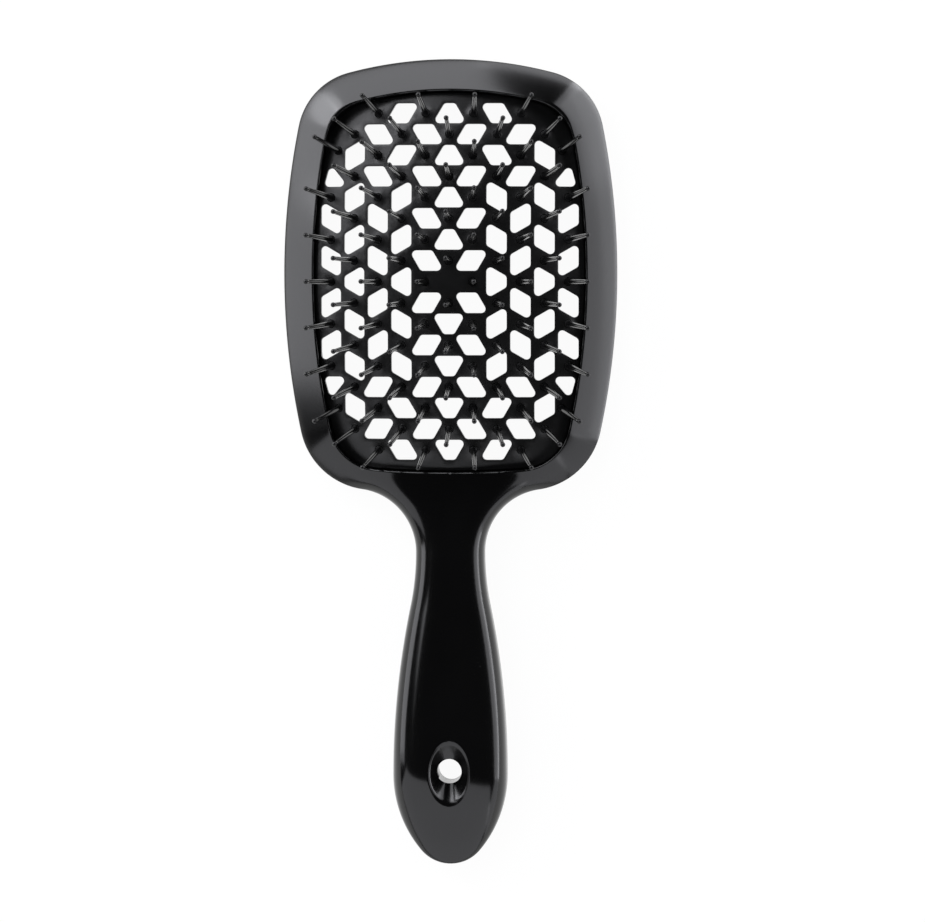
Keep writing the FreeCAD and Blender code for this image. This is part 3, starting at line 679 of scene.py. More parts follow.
@dataclass
class ShellGrid:
    """Plan grid of both shells: columns from the outline in to the opening, centre line or scoop.

    A column is the straight line (1 - t) P + t Q between a point P of the outline and a point Q of the
    inner path, with t = sin squared of an evenly spaced quarter turn, so that points crowd at both ends.
    """

    step: float = 0.6
    least_span: int = 6
    rows: int = 40
    neck_run: float = 18.0
    tail_stop: float = 141.0
    seam: float = 0.1

    def __post_init__(self) -> None:
        """Pairs places on the outline with places on the inner path and lays out the columns."""
        self.outline, self.opening = PLAN.outline(), PLAN.opening()
        edge, hole = self.outline, self.opening
        rim_top, rim_foot = PLAN.scoop_drop - PLAN.scoop_reach, PLAN.scoop_drop + PLAN.scoop_reach
        rim_run = math.pi * PLAN.scoop_reach
        self.marks = np.cumsum(
            [hole.reach[-1], rim_top - PLAN.opening_foot, rim_run, self.tail_stop - rim_foot])
        # Each row pairs a length of the outline, by arc and share of it, with a length of the inner path.
        keys = np.array([
            (0.0, 0.0),
            *((edge.run_to(arc, 0.5), hole.run_to(arc, 0.5)) for arc in (1, 2, 3)),
            (edge.run_to(4, 0.0), hole.run_to(4, 0.4)),
            (edge.run_to(4, 0.45), self.marks[0]),
            (edge.run_to(5, 0.0), self.marks[0] + self.neck_run),
            (edge.run_to(6, 0.72), self.marks[1]),
            (edge.run_to(7, 0.0), (self.marks[1] + self.marks[2]) / 2.0),
            (edge.run_to(7, 0.6), self.marks[2]),
            (edge.run_to(8, 1.0), self.marks[3]),
        ])
        spans = np.round(np.diff(keys, axis=0).max(axis=1) / self.step)
        number = np.concatenate([[0], np.cumsum(np.maximum(self.least_span, spans).astype(int))])
        column = np.arange(number[-1] + 1)
        self.outer = edge.at(np.interp(column, number, keys[:, 0]))
        self.inner = self._inner_path(np.interp(column, number, keys[:, 1]))
        # Rows 5, 7 and 9 of the keys are the foot of the opening, the top of the scoop's rim and its foot.
        open_end, rim_start, rim_end = number[[5, 7, 9]]
        self.open_part, self.neck_part = slice(0, open_end + 1), slice(open_end, rim_start + 1)
        self.rim_part, self.tail_part = slice(rim_start, rim_end + 1), slice(rim_end, None)
        t = np.sin(np.linspace(0.0, QUARTER, self.rows)) ** 2
        self.plan = between(self.outer[:, None], self.inner[:, None], t[:, None])
        inward = self.inner - self.outer
        inward /= np.linalg.norm(inward, axis=1, keepdims=True)
        self.seam_line = self.outer + self.seam * inward
        turn = np.linspace(QUARTER, -QUARTER, rim_end - rim_start + 1)
        self.bore = rays(turn) * PLAN.hang_radius - (0.0, PLAN.hang_drop)

    def _inner_path(self, run: Points) -> Points:
        """Inner path: the opening, the centre line, half the scoop's rim and the centre line again.

        Args:
            run: lengths along the path.

        Returns:
            Plan points.
        """
        first, second, third, _ = self.marks
        turn = QUARTER - math.pi * np.clip((run - second) / (third - second), 0.0, 1.0)
        rim = rays(turn) * (PLAN.scoop_half, PLAN.scoop_reach) - (0.0, PLAN.scoop_drop)
        middle = np.zeros_like(run)
        neck = np.stack([middle, -PLAN.opening_foot - (run - first)], axis=-1)
        end = np.stack([middle, -PLAN.scoop_drop - PLAN.scoop_reach - (run - third)], axis=-1)
        zone = np.searchsorted([first, second, third], run, side="left")[:, None]
        hole = self.opening.at(np.minimum(run, first))
        return np.select([zone == 0, zone == 1, zone == 2], [hole, neck, rim], end)

    def rim_plan(self, rows: int, crowding: float) -> Points:
        """Plan grid from the scoop's rim in to the hole, in shares s^c of even steps s."""
        share = np.linspace(0.0, 1.0, rows)[:, None] ** crowding
        return between(self.inner[self.rim_part, None], self.bore[:, None], share)

    def close(self, main: Points, rim: Points, seam_lift: float, lip_rows: int) -> Skin:
        """Closes a shell: its surface, the walls of opening and hole, and the flat at the parting plane.

        Args:
            main: surface by column and row, from the outline inwards.
            rim: surface from the scoop's rim in to the hole.
            seam_lift: how far the outer wall stands off the parting plane, below nought on the back.
            lip_rows: points down the wall of the opening.

        Returns:
            The closed skin.
        """
        level, lip = PLAN.parting, main[:, -1:]
        rim[:, 0] = main[self.rim_part, -1]
        seam, wall = lift(self.seam_line, level)[:, None], lift(self.outer, level + seam_lift)[:, None]
        shelf, bore = lift(self.inner, level)[:, None], lift(self.bore, level)[:, None]
        down = np.linspace(0.0, 1.0, lip_rows)[:, None]
        skin = Skin()
        for rows in (
            (seam, wall, main),
            (between(lip, shelf, down)[self.open_part], seam[self.open_part]),
            (shelf[self.neck_part], seam[self.neck_part]),
            (shelf[self.tail_part], seam[self.tail_part]),
            (rim, bore, shelf[self.rim_part], seam[self.rim_part]),
        ):
            skin.add_grid(np.concatenate(rows, axis=1), flip=seam_lift < 0.0, mirror=True)
        return skin


@dataclass
class Shell:
    """What both shells share: a surface over the plan grid, closed at the parting plane."""

    grid: ShellGrid
    node: str
    name: str
    seam_lift: float
    lip_rows: int
    rim_rows: int
    rim_crowding: float
    crease: float = 50.0

    def height(self, plan: Points) -> Points:
        """Height of the surface over plan points, which each shell gives in its own way."""
        raise NotImplementedError

    def rim_height(self, plan: Points) -> Points:
        """Height of the surface between the scoop's rim and the hole."""
        return self.height(plan)

    def build(self) -> bpy.types.Object:
        """Builds and dresses the shell.

        Returns:
            The finished piece.
        """
        main = lift(self.grid.plan, self.height(self.grid.plan))
        plan = self.grid.rim_plan(self.rim_rows, self.rim_crowding)
        skin = self.grid.close(main, lift(plan, self.rim_height(plan)), self.seam_lift, self.lip_rows)
        piece = skin.mesh(self.name, self.crease)
        dress(piece, GLOSS_SHELL, Slot.SHELL, BODY, self.node)
        return piece


@dataclass
class FrontShell(Shell):
    """Front shell: sloping frame face, blended shoulders, crowned handle, scoop and hanging hole.

    Each knot holds a place along the brush, the height of the crest, the width of the sloping border and
    the power of its curve.
    """

    node: str = "front_shell"
    name: str = "polished_front_shell"
    seam_lift: float = 0.12
    lip_rows: int = 5
    rim_rows: int = 14
    rim_crowding: float = 1.8
    edge_z: float = 5.3
    face_power: float = 1.06
    lip_round: float = 0.45
    lip_drop: float = 0.3
    scoop_depth: float = 5.0
    scoop_power: float = 1.4
    rim_round: float = 0.45
    rim_drop: float = 0.2
    crown_from: tuple[float, float] = (-43.0, -57.0)
    crown_side: tuple[float, float] = (28.0, 12.0)
    knots: tuple[tuple[float, float, float, float], ...] = (
        (-149.0, 6.5, 9.0, 2.4), (-143.0, 9.0, 9.1, 2.5), (-137.0, 11.2, 9.8, 2.6),
        (-131.5, 13.2, 11.2, 2.8), (-126.0, 14.6, 12.8, 3.1), (-120.0, 14.75, 14.0, 3.3),
        (-114.6, 14.5, 14.2, 3.3), (-103.2, 13.8, 13.4, 3.1), (-91.8, 13.0, 11.5, 2.9),
        (-80.4, 12.3, 9.7, 2.8), (-69.0, 12.0, 8.7, 2.7), (-62.0, 11.75, 8.5, 2.6),
        (-56.0, 11.45, 8.3, 2.4), (-51.0, 11.2, 8.0, 2.2), (-46.0, 11.05, 7.8, 2.0),
        (-40.0, 11.0, 7.8, 2.0),
    )

    def height(self, plan: Points) -> Points:
        """Height of the front surface.

        Formula: edge + (crest - edge) (1 - (1 - v)^p)^(1/p), with v the distance from the outline over the
        width of the sloping border. A power p near 1 gives the straight face of the frame, and a larger one
        the crowned handle; crest, border and power are curves along the brush. The lip and the scoop's rim
        are rounded.

        Args:
            plan: plan points.

        Returns:
            Heights.
        """
        knots = np.array(self.knots)
        side, along = np.abs(plan[..., 0]), plan[..., 1]
        crest, border, power = (smooth_curve(along, knots[:, 0], knots[:, k]) for k in (1, 2, 3))
        crowned = ease(along, *self.crown_from) * ease(side, *self.crown_side)
        power = self.face_power + (power - self.face_power) * crowned
        share = np.clip(self.grid.outline.gap(plan) / border, 0.0, 1.0)
        top = self.edge_z + (crest - self.edge_z) * (1.0 - (1.0 - share) ** power) ** (1.0 / power)
        top = top - rounding(self.grid.opening.gap(plan), self.lip_round, self.lip_drop)
        rim = (PLAN.scoop_share(plan) - 1.0) * PLAN.scoop_half
        return top - rounding(np.abs(rim), self.rim_round, self.rim_drop)

    def rim_height(self, plan: Points) -> Points:
        """Height of the scoop: the front surface less depth (1 - r^p), r the elliptical radius."""
        sunk = np.clip(1.0 - PLAN.scoop_share(plan) ** self.scoop_power, 0.0, 1.0)
        return self.height(plan) - self.scoop_depth * sunk


@dataclass
class BackShell(Shell):
    """Back shell: flat land with a rounded outer edge, the opening and the hanging hole."""

    node: str = "back_shell"
    name: str = "polished_back_shell"
    seam_lift: float = -0.12
    lip_rows: int = 2
    rim_rows: int = 8
    rim_crowding: float = 0.6
    edge_round: float = 3.2
    opening_round: float = 0.8
    opening_rise: float = 0.5

    def height(self, plan: Points) -> Points:
        """Height of the back surface.

        Formula: a quarter circle r - (r^2 - (r - gap)^2)^(1/2) at the edge, flat inside, with the edges of
        opening and hole rounded.

        Args:
            plan: plan points.

        Returns:
            Heights.
        """
        gap = np.clip(self.edge_round - self.grid.outline.gap(plan), 0.0, self.edge_round)
        edge = self.edge_round - np.sqrt(self.edge_round**2 - gap**2)
        bore = np.hypot(plan[..., 0], plan[..., 1] + PLAN.hang_drop) - PLAN.hang_radius
        opening = rounding(self.grid.opening.gap(plan), self.opening_round, self.opening_rise)
        return edge + opening + rounding(np.abs(bore), self.opening_round, self.opening_rise)


@dataclass(frozen=True)
class Dome:
    """Domed face of the pad: an arc across the brush swung along it."""

    across: float = 95.0
    along: float = 180.0
    top: float = 15.6

    def height(self, plan: Points, sunk: float = 0.0) -> Points:
        """Height of the face: top - Ry + ((Ry - Rx + ((Rx - sunk)^2 - x^2)^(1/2))^2 - y^2)^(1/2)."""
        reach = self.along - self.across + np.sqrt((self.across - sunk) ** 2 - plan[..., 0] ** 2)
        return self.top - self.along + np.sqrt(reach**2 - plan[..., 1] ** 2)

    def stand(self, plan: Points) -> tuple[Points, Points]:
        """Points on the face, and how a pin stands there.

        Args:
            plan: plan points.

        Returns:
            Points over them, and the directions square to the face.
        """
        tilt = np.arcsin(plan[..., 0] / self.across)
        swing = np.arcsin(plan[..., 1] / (self.along - self.across + self.across * np.cos(tilt)))
        square = [np.sin(tilt), np.cos(tilt) * np.sin(swing), np.cos(tilt) * np.cos(swing)]
        return lift(plan, self.height(plan)), np.stack(square, axis=-1)


@dataclass(frozen=True)
class Lattice:
    """Chessboard of vents and pins on the pad, counted in columns and rows from its middle."""

    column_pitch: float = 6.03
    row_pitch: float = 5.34
    axis_column: float = 5.63
    last_row: int = 8
    last_column: int = 5
    row_reach: tuple[int, ...] = (5, 5, 5, 5, 5, 5, 4, 4, 3)
    flat_from_row: tuple[int, ...] = (99, 1, 6, 5, 99, 99)
    middle_rows: tuple[int, int] = (1, 2)
    corner_vent_row: int = 5
    corner_shift: float = 1.2
    corner_pin_row: int = 6
    corner_pin: tuple[float, float, float] = (28.4, 33.3, 32.2)

    def places(self, odd: int) -> list[tuple[int, int]]:
        """Places of the pins or of the vents, without the solid middle.

        Args:
            odd: 1 for the pins, whose column and row add up to an odd number, or 0 for the vents.

        Returns:
            Columns and rows.
        """
        return [
            (column, row)
            for row in range(-self.last_row, self.last_row + 1)
            for column in range(-self.row_reach[abs(row)], self.row_reach[abs(row)] + 1)
            if (column + row) % 2 == odd and (column, row) != (0, 0)
        ]

    def pin_plan(self, column: int, row: int) -> tuple[float, float]:
        """Plan place of one pin, with the four corner pins moved in from the frame.

        Args:
            column: column of the pin.
            row: row of the pin.

        Returns:
            Place across and along.
        """
        if abs(column) == self.last_column and abs(row) == self.corner_pin_row:
            across, high, low = self.corner_pin
            return math.copysign(across, column), high if row > 0 else -low
        return self.column_pitch * column, self.row_pitch * row

    def pin_groups(self) -> dict[tuple[int, Zone], list[int]]:
        """Pins gathered into groups by column and zone.

        Returns:
            Rows of the pins in each zone of each column.
        """
        groups: dict[tuple[int, Zone], list[int]] = {}
        corners = [(a * self.last_column, b * self.corner_pin_row) for a in (-1, 1) for b in (-1, 1)]
        for column, row in sorted(self.places(1) + corners):
            limit = self.middle_rows[column % 2]
            zone = Zone.MIDDLE if abs(row) <= limit else (Zone.UPPER if row > 0 else Zone.LOWER)
            groups.setdefault((column, zone), []).append(row)
        return groups

    def vent(self, column: int, row: int) -> tuple[VentForm, Points, Points]:
        """How one vent lies.

        Args:
            column: column of the vent.
            row: row of the vent.

        Returns:
            Its form, its plan place, and the turn or mirror that lays it there.
        """
        across, along = abs(column), abs(row)
        place = np.array([self.column_pitch * column, self.row_pitch * row])
        quarter, mirror = np.array([[0.0, -1.0], [1.0, 0.0]]), np.diag([-1.0, 1.0])
        if across == 0:
            return VentForm.WEDGE, place, np.eye(2) if row > 0 else -np.eye(2)
        if along == 0:
            return VentForm.WEDGE, place, -quarter if column > 0 else quarter
        if across == self.last_column and along == self.corner_vent_row:
            place[0] -= math.copysign(self.corner_shift, column)
            lay = mirror if column * row < 0 else np.eye(2)
            return VentForm.CORNER, place, -lay if row < 0 else lay
        if across == 1:
            place[0] = math.copysign(self.axis_column, column)
        rising = (across % 2 == 1) == (column * row > 0)
        if along >= self.flat_from_row[across]:
            return VentForm.RHOMBUS, place, np.eye(2) if rising else mirror
        return VentForm.RHOMBUS, place, quarter @ mirror if rising else quarter


LATTICE = Lattice()
DOME = Dome()


def round_corners(
    corners: Points, radius: float, offsets: Points, arc_points: int, edge_points: int
) -> Points:
    """Rings round a convex polygon with rounded corners.

    Formula: each corner is an arc about the point that lies a radius inside both edges; a ring of offset o
    has arcs of radius + o about the same points, joined by straight edges.

    Args:
        corners: polygon corners, counter-clockwise.
        radius: corner radius of the ring of no offset.
        offsets: outward offset of each ring.
        arc_points: points on each corner arc.
        edge_points: points between one arc and the next.

    Returns:
        Points by ring and place on the ring.
    """
    ahead = np.roll(corners, -1, axis=0) - corners
    ahead /= np.linalg.norm(ahead, axis=1, keepdims=True)
    outward = np.stack([ahead[:, 1], -ahead[:, 0]], axis=-1)
    before = np.roll(outward, 1, axis=0)
    half = np.arccos(np.clip((before * outward).sum(axis=1), -1.0, 1.0)) / 2.0
    bisector = before + outward
    bisector /= np.linalg.norm(bisector, axis=1, keepdims=True)
    centre = corners - bisector * (radius / np.cos(half))[:, None]
    first = np.arctan2(before[:, 1], before[:, 0])
    angle = first[:, None] + 2.0 * half[:, None] * np.linspace(0.0, 1.0, arc_points)
    arcs = centre[:, None] + rays(angle) * (radius + offsets)[:, None, None, None]
    share = np.linspace(0.0, 1.0, edge_points + 2)[1:-1, None]
    edges = between(arcs[:, :, -1:], np.roll(arcs[:, :, :1], -1, axis=1), share)
    return np.concatenate([arcs, edges], axis=2).reshape(len(offsets), -1, 2)


def within(loop: Points, points: Points) -> Points:
    """Which points lie inside a convex loop: on the left of every edge, by the cross product.

    Args:
        loop: corners, counter-clockwise.
        points: plan points.

    Returns:
        True for each point inside.
    """
    edge = np.roll(loop, -1, axis=0) - loop
    away = points[None] - loop[:, None]
    side = edge[:, None, 0] * away[..., 1] - edge[:, None, 1] * away[..., 0]
    return np.all(side > 0.0, axis=0)


def fill_plate(loops: list[Points], pitch: float, clear: float) -> tuple[Points, Points]:
    """Triangles over a convex outline with convex holes.

    The loops are joined by a constrained triangulation with a staggered field of inner points, and the
    triangles whose corners all lie on one hole are left out.

    Args:
        loops: the outline first, then each hole.
        pitch: spacing of the inner points.
        clear: least distance of an inner point from a loop point.

    Returns:
        Plan points, with the loops first and in order, and triangles that number them.
    """
    row_step, tolerance = 0.87 * pitch, 1.0e-7
    sizes = [len(loop) for loop in loops]
    low, high = loops[0].min(axis=0), loops[0].max(axis=0)
    x, y = np.meshgrid(np.arange(low[0], high[0], pitch), np.arange(low[1], high[1], row_step))
    x = x + (np.arange(len(y)) % 2)[:, None] * pitch / 2.0
    spots = np.stack([x, y], axis=-1).reshape(-1, 2)
    keep = within(loops[0], spots)
    for hole in loops[1:]:
        keep &= ~within(hole, spots)
    spots = spots[keep]
    near = np.full(len(spots), FAR)
    for loop in loops:
        away = spots[:, None] - loop[None]
        near = np.minimum(near, np.hypot(away[..., 0], away[..., 1]).min(axis=1))
    points = np.concatenate([*loops, spots[near > clear]])
    starts = np.cumsum([0, *sizes])
    runs = [np.arange(first, last) for first, last in zip(starts, starts[1:])]
    edges = np.concatenate([np.stack([run, np.roll(run, -1)], axis=-1) for run in runs])
    made = delaunay_2d_cdt(points.tolist(), edges.tolist(), [], 0, tolerance)
    source = np.array([origin[0] for origin in made[3]])
    faces = source[np.array(made[2])]
    label = np.full(len(points), -1)
    label[:starts[-1]] = np.repeat(np.arange(len(loops)), sizes)
    tags = label[faces]
    bare = (tags[:, 0] == tags[:, 1]) & (tags[:, 1] == tags[:, 2]) & (tags[:, 0] > 0)
    return points, faces[~bare]


@dataclass
class VentedPad:
    """Domed pad with rounded vents, blind ball sockets, a skirt and the flange that the shells clamp."""

    node: str = "vented_pad"
    name: str = "satin_vented_pad"
    wall: float = 2.2
    gap: float = 0.4
    skirt: float = 0.2
    flange_reach: float = 2.4
    flange_low: float = 3.75
    flange_high: float = 5.25
    edge_round: float = 0.12
    round_rows: int = 4
    vent_height: float = 5.15
    vent_lean: float = math.pi / 6.0
    vent_round: float = 1.05
    vent_edge: float = 0.14
    vent_points: tuple[int, int] = (6, 3)
    wedge_wide: float = 8.7
    wedge_narrow: float = 2.75
    corner_width: float = 6.4
    corner_height: float = 5.9
    socket_radius: float = 1.21
    socket_depth: float = 0.4
    socket_rows: int = 6
    socket_sides: int = 14
    face_pitch: float = 1.15
    face_clear: float = 0.45
    under_pitch: float = 1.725
    under_clear: float = 0.5
    half_steps: int = 156
    crease: float = 40.0

    def loop(self, inset: float) -> Points:
        """Outline of the opening moved inwards, read at the same number of places for every inset."""
        return PLAN.opening().inset(inset).loop(self.half_steps)

    def corners(self, form: VentForm) -> Points:
        """Corners of a vent before its rounding.

        Args:
            form: plan form.

        Returns:
            Plan points about the vent's own centre.
        """
        half = self.vent_height / 2.0
        lean, side = half * math.tan(self.vent_lean), half / math.cos(self.vent_lean)
        wide, narrow, base = self.wedge_wide / 2.0, self.wedge_narrow / 2.0, self.corner_width / 2.0
        left, right = -side - lean, side - lean
        forms = {
            VentForm.RHOMBUS: [(left, -half), (right, -half), (side + lean, half), (lean - side, half)],
            VentForm.WEDGE: [(-wide, -half), (wide, -half), (narrow, half), (-narrow, half)],
            VentForm.CORNER: [(-base, -half), (base, -half), (base / 2.0, self.corner_height - half)],
        }
        return np.array(forms[form])

    def vent_rings(self, turn: Points) -> list[Points]:
        """Plan rings of every vent.

        Args:
            turn: angles of the eased upper edge.

        Returns:
            Rings of each vent, from its upper edge in to its wall.
        """
        offsets = self.vent_edge * (1.0 - np.sin(turn))
        rings = []
        for column, row in LATTICE.places(0):
            form, place, lay = LATTICE.vent(column, row)
            corners = self.corners(form) @ lay.T + place
            if np.linalg.det(lay) < 0.0:
                corners = corners[::-1]
            rings.append(round_corners(corners, self.vent_round, offsets, *self.vent_points))
        return rings

    def socket_rings(self, roots: Points, square: Points) -> Points:
        """Blind ball sockets: rings of a sphere from where it meets the face down to its pole.

        Formula: root + R (sin a (u cos b + v sin b) + cos a n), n square to the face, u and v across it.

        Args:
            roots: ball centres.
            square: directions n.

        Returns:
            Points by socket, ring and place on the ring.
        """
        u, v = side_axes(square)
        mouth = math.acos(self.socket_depth / self.socket_radius)
        slope = np.linspace(mouth, math.pi, self.socket_rows)[:, None]
        turn = np.linspace(0.0, 2.0 * math.pi, self.socket_sides, endpoint=False)[None]
        across, aside = np.sin(slope) * np.cos(turn), np.sin(slope) * np.sin(turn)
        parts = ((across, u), (aside, v), (np.cos(slope) + 0.0 * turn, square))
        ray = sum(part[None, ..., None] * axis[:, None, None] for part, axis in parts)
        return roots[:, None, None] + self.socket_radius * ray

    def build(self, roots: Points, square: Points) -> bpy.types.Object:
        """Builds and dresses the pad.

        Args:
            roots: ball centres of all pins.
            square: directions of all pins.

        Returns:
            The finished piece.
        """
        skin = Skin()
        turn = np.linspace(0.0, QUARTER, self.round_rows)
        vents, sockets = self.vent_rings(turn), self.socket_rings(roots, square)
        loops = [self.loop(self.gap + self.edge_round * (1.0 - math.sin(a))) for a in turn]
        inner, flange = self.loop(self.gap + self.skirt), self.loop(-self.flange_reach)
        holes = [ring[0] for ring in vents] + [ring[0, :, :2] for ring in sockets]
        plan, faces = fill_plate([loops[0], *holes], self.face_pitch, self.face_clear)
        top = lift(plan, DOME.height(plan))
        first = len(loops[0]) + sum(len(ring[0]) for ring in vents)
        top[first:first + sockets[:, 0].size // 3] = sockets[:, 0].reshape(-1, 3)
        skin.add(top, faces)
        walls = [ring[-1] for ring in vents]
        plan, faces = fill_plate([inner, *walls], self.under_pitch, self.under_clear)
        skin.add(lift(plan, DOME.height(plan, self.wall)), faces[:, ::-1])
        sink = 1.0 - np.cos(turn)
        for ring in vents:
            upper = lift(ring, DOME.height(ring) - (self.vent_edge * sink)[:, None])
            lower = lift(ring[-1], DOME.height(ring[-1], self.wall))[None]
            skin.add_grid(np.concatenate([upper, lower]).transpose(1, 0, 2), flip=True, closed=True)
        for ring in sockets:
            skin.add_grid(ring.transpose(1, 0, 2), flip=True, closed=True)
        drops = self.edge_round * sink
        profile = [lift(loop, DOME.height(loop) - drop) for loop, drop in zip(loops, drops)]
        profile += [lift(loop, self.flange_high) for loop in (loops[-1], flange)]
        profile += [lift(loop, self.flange_low) for loop in (flange, inner)]
        profile.append(lift(inner, DOME.height(inner, self.wall)))
        skin.add_grid(np.stack(profile).transpose(1, 0, 2), closed=True)
        piece = skin.mesh(self.name, self.crease)
        dress(piece, SATIN_PAD, Slot.PAD, BODY, self.node)
        return piece


@dataclass
class PinColumns:
    """Slim tapered pins on ball roots, in groups that make one piece each."""

    length: float = 17.0
    root_depth: float = 0.4
    ball: float = 1.15
    ball_rows: int = 7
    foot: float = 0.78
    foot_flare: float = 0.10
    flare_fade: float = 45.0
    foot_clear: float = 0.12
    neck: float = 0.5
    taper_power: float = 1.25
    tip: float = 0.63
    tip_rows: int = 6
    sides: int = 16
    crease: float = 60.0
    shank_shares: tuple[float, ...] = (0.02, 0.05, 0.12, 0.3, 0.5, 0.7, 0.85, 0.93)

    def profile(self) -> Points:
        """Radius and height along a pin from its ball centre.

        Formula: a sphere arc for the ball, a taper neck + (foot - neck) (1 - s)^p with a flare that dies
        away exponentially above the ball, and a sphere arc for the tip.

        Returns:
            Rows of radius and height.
        """
        tip_z = self.root_depth + self.length - self.tip
        join = math.acos((self.foot + self.foot_clear) / self.ball)
        ball = rays(np.linspace(-QUARTER, join, self.ball_rows)) * self.ball
        low = self.ball * math.sin(join)
        neck_turn = -math.acos(self.neck / self.tip)
        high = tip_z + self.tip * math.sin(neck_turn)
        share = np.array(self.shank_shares)
        taper = self.neck + (self.foot - self.neck) * (1.0 - share) ** self.taper_power
        taper += self.foot_flare * np.exp(-share * self.flare_fade)
        shank = np.stack([taper, low + (high - low) * share], axis=-1)
        tip = rays(np.linspace(neck_turn, QUARTER, self.tip_rows)) * self.tip + (0.0, tip_z)
        return np.concatenate([ball, shank, tip])

    def straighten(self, roots: Points) -> Points:
        """Ball centres of a group moved onto one straight line, half the bow each way.

        Args:
            roots: ball centres of two or three pins.

        Returns:
            Ball centres on the line.
        """
        if len(roots) < 3:
            return roots
        line = roots[2] - roots[0]
        line = line / np.linalg.norm(line)
        bow = roots[1] - roots[0]
        bow = bow - line * (bow @ line)
        return roots + bow * np.array([[0.5], [-0.5], [0.5]])

    def layout(self) -> dict[str, tuple[Points, Points]]:
        """Where the pins stand.

        Returns:
            Ball centres and directions of each group, by the name of its node.
        """
        made = {}
        for (column, zone), rows in LATTICE.pin_groups().items():
            side = "centre" if column == 0 else f"{'left' if column < 0 else 'right'}_{abs(column)}"
            plan = np.array([LATTICE.pin_plan(column, row) for row in sorted(rows)])
            point, square = DOME.stand(plan)
            roots = self.straighten(point - square * self.root_depth)
            made[f"pins_{side}_{zone.name.lower()}"] = (roots, square)
        return made

    def build(self, node: str, roots: Points, square: Points) -> bpy.types.Object:
        """Builds and dresses one group: the profile turned about each pin's direction.

        Args:
            node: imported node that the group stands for.
            roots: ball centres.
            square: directions of the pins.

        Returns:
            The finished piece.
        """
        radius, rise = self.profile().T[:, None, :, None]
        turn = np.linspace(0.0, 2.0 * math.pi, self.sides, endpoint=False)[:, None, None]
        skin = Skin()
        for root, axis, first, second in zip(roots, square, *side_axes(square)):
            ray = np.cos(turn) * first + np.sin(turn) * second
            skin.add_grid(root + ray * radius + axis * rise, flip=True, closed=True)
        piece = skin.mesh(f"smooth_{node}", self.crease)
        dress(piece, SMOOTH_PINS, Slot.PINS, node, node)
        return piece


@dataclass(frozen=True)
class Softbox:
    """Soft studio lamp: where it stands, how wide and high it is, and how bright its face is."""

    name: str
    azimuth: float
    elevation: float
    distance: float
    width: float
    height: float
    radiance: float
    shape: LampShape = LampShape.BOX
    colour: tuple[float, float, float] = (0.95, 0.955, 1.0)
    face_power: float = 4.0

    def place(self, target: Vector) -> None:
        """Sets the lamp up.

        Args:
            target: point that it faces.
        """
        lamp = bpy.data.lights.new(self.name, "AREA")
        lamp.shape = self.shape.value
        lamp.color = self.colour
        lamp.size, lamp.size_y = self.width, self.height
        lamp.energy = self.face_power * self.width * self.height * self.radiance
        holder = add_object(self.name, lamp)
        turn, rise = math.radians(self.azimuth), math.radians(self.elevation)
        back = Vector((math.cos(turn) * math.cos(rise), math.sin(turn) * math.cos(rise), math.sin(rise)))
        holder.location = target + back * self.distance
        holder.rotation_euler = (-back).to_track_quat("-Z", "Y").to_euler()
        holder.visible_camera = False
        log.info("%s lamp at azimuth %.0f, elevation %.0f", self.name, self.azimuth, self.elevation)


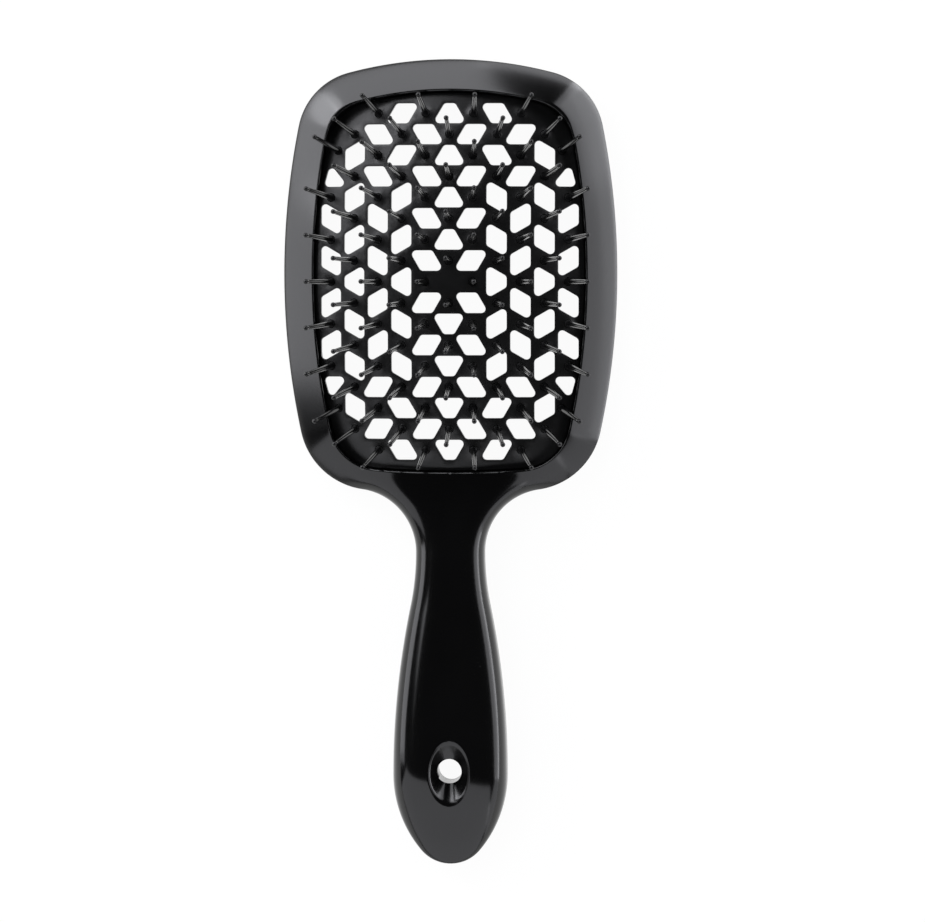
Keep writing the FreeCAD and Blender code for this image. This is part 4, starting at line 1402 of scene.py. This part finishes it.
@dataclass
class Studio:
    """White sweep, soft lamps all round, a dark ceiling and the camera above."""

    image_width: int = 925
    pixel: float = 0.2552 * MM
    camera_height: float = 1.1
    lean_x: float = 2.6
    lean_y: float = -2.2
    centre: tuple[float, float, float] = (3.1 * MM, 0.5 * MM, 6.0 * MM)
    sensor: float = 36.0
    ambient: float = 0.35
    ceiling: float = 0.012
    horizon: tuple[float, float] = (0.02, 0.14)
    floor_reach: float = 6.0
    floor_drop: float = -0.3 * MM
    floor_colour: tuple[float, float, float, float] = (0.9, 0.9, 0.9, 1.0)
    shadow_share: float = 0.05
    softboxes: tuple[Softbox, ...] = (
        Softbox("left_softbox", 151.2, 16.0, 1.15, 0.774, 0.52, 3.0),
        Softbox("left_fill", 178.8, 16.0, 1.15, 0.37, 0.52, 2.35),
        Softbox("corner_glow", 141.0, 18.0, 1.1, 0.66, 0.44, 2.2, LampShape.OVAL),
        Softbox("corner_spot", 141.0, 18.0, 1.1, 0.40, 0.26, 8.2, LampShape.OVAL),
        Softbox("pad_sheen", 140.0, 50.0, 1.15, 0.9, 0.4, 1.8),
        Softbox("top_softbox", 110.0, 26.0, 1.15, 1.0, 0.85, 2.7),
        Softbox("right_glow", 34.0, 14.0, 1.15, 0.9, 0.4, 0.9),
        Softbox("right_softbox", 20.0, 26.0, 1.15, 1.9, 0.34, 1.6),
        Softbox("right_middle", 20.0, 14.0, 1.15, 1.9, 0.16, 2.4),
        Softbox("right_strip", 20.0, 6.0, 1.15, 1.9, 0.16, 5.0),
        Softbox("far_strip", 70.0, 7.0, 1.15, 0.75, 0.16, 2.6),
        Softbox("handle_softbox", 254.5, 33.0, 1.15, 2.62, 1.07, 1.02),
        Softbox("handle_strip", 321.5, 14.0, 1.15, 0.7, 0.4, 1.1),
    )

    def build(self) -> None:
        """Sets up camera, lamps, world and floor."""
        target = Vector(self.centre)
        for softbox in self.softboxes:
            softbox.place(target)
        self._camera(target)
        self._world()
        self._floor()
        bpy.context.scene.view_settings.view_transform = "Standard"

    def _camera(self, target: Vector) -> None:
        """Camera nearly straight above, leaning a little to the right and to the top of the head.

        Args:
            target: point in the middle of the picture.
        """
        data = bpy.data.cameras.new("studio_camera")
        data.sensor_width = self.sensor
        data.lens = self.sensor * self.camera_height / (self.image_width * self.pixel)
        camera = add_object("studio_camera", data)
        lean = math.tan(math.radians(self.lean_x)), -math.tan(math.radians(self.lean_y))
        back = Vector((*lean, 1.0)).normalized()
        camera.location = target + back * self.camera_height
        side = Vector((0.0, 1.0, 0.0)).cross(back).normalized()
        axes = (side, back.cross(side), back, camera.location)
        rows = [[axis[k] for axis in axes] for k in range(3)]
        camera.matrix_world = Matrix([*rows, [0.0, 0.0, 0.0, 1.0]])
        bpy.context.scene.camera = camera

    def _world(self) -> None:
        """White for the camera, pale only near the horizon for gloss, and an even level for the rest."""
        world = bpy.data.worlds.new("white_sweep")
        bpy.context.scene.world = world
        world.use_nodes = True
        graph = Graph(world.node_tree)
        path = graph.make("ShaderNodeLightPath").outputs
        place = graph.make("ShaderNodeTexCoord").outputs["Generated"]
        sky = graph.make("ShaderNodeSeparateXYZ", Vector=place)
        low, high = self.horizon
        pale = graph.make("ShaderNodeMapRange", Value=sky.outputs["Z"], From_Min=low, From_Max=high,
                          To_Min=1.0, To_Max=self.ceiling)
        pale.interpolation_type = "SMOOTHSTEP"
        level = graph.blend(path["Is Glossy Ray"], self.ambient, pale.outputs["Result"])
        seen = graph.math("MAXIMUM", path["Is Camera Ray"], path["Is Transmission Ray"])
        backdrop = graph.nodes["Background"]
        graph.feed(backdrop.inputs["Strength"], graph.blend(seen, level, 1.0))
        backdrop.inputs["Color"].default_value = (1.0, 1.0, 1.0, 1.0)

    def _floor(self) -> None:
        """Pale floor under the brush, white where it is seen and keeping a light shadow."""
        mesh = bpy.data.meshes.new("pale_floor")
        turns = ((-1.0, -1.0), (1.0, -1.0), (1.0, 1.0), (-1.0, 1.0))
        corners = [(x * self.floor_reach, y * self.floor_reach, self.floor_drop) for x, y in turns]
        mesh.from_pydata(corners, [], [(0, 1, 2, 3)])
        add_object("pale_floor", mesh)
        material = bpy.data.materials.new("white_paper")
        material.use_nodes = True
        graph = Graph(material.node_tree)
        graph.nodes.remove(graph.nodes["Principled BSDF"])
        path = graph.make("ShaderNodeLightPath").outputs
        seen = graph.math("MAXIMUM", path["Is Camera Ray"], path["Is Glossy Ray"])
        seen = graph.math("MAXIMUM", seen, path["Is Transmission Ray"])
        mix = graph.make("ShaderNodeMixShader", Fac=graph.math("MULTIPLY", seen, 1.0 - self.shadow_share))
        paper = graph.make("ShaderNodeBsdfDiffuse", Color=self.floor_colour)
        graph.links.new(paper.outputs[0], mix.inputs[1])
        graph.links.new(graph.make("ShaderNodeEmission").outputs[0], mix.inputs[2])
        graph.links.new(mix.outputs[0], graph.nodes["Material Output"].inputs["Surface"])
        mesh.materials.append(material)


def write_size() -> None:
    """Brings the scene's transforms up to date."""
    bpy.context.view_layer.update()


def main() -> None:
    """Builds the brush piece by piece, then the studio round it."""
    logging.basicConfig(level=logging.INFO, format="%(name)s: %(message)s")
    grid = ShellGrid()
    FrontShell(grid).build()
    BackShell(grid).build()
    pins = PinColumns()
    layout = pins.layout()
    roots = np.concatenate([place for place, _ in layout.values()])
    square = np.concatenate([way for _, way in layout.values()])
    VentedPad().build(roots, square)
    for node, (place, way) in layout.items():
        pins.build(node, place, way)
    Studio().build()
    write_size()


if __name__ == "__main__":
    main()
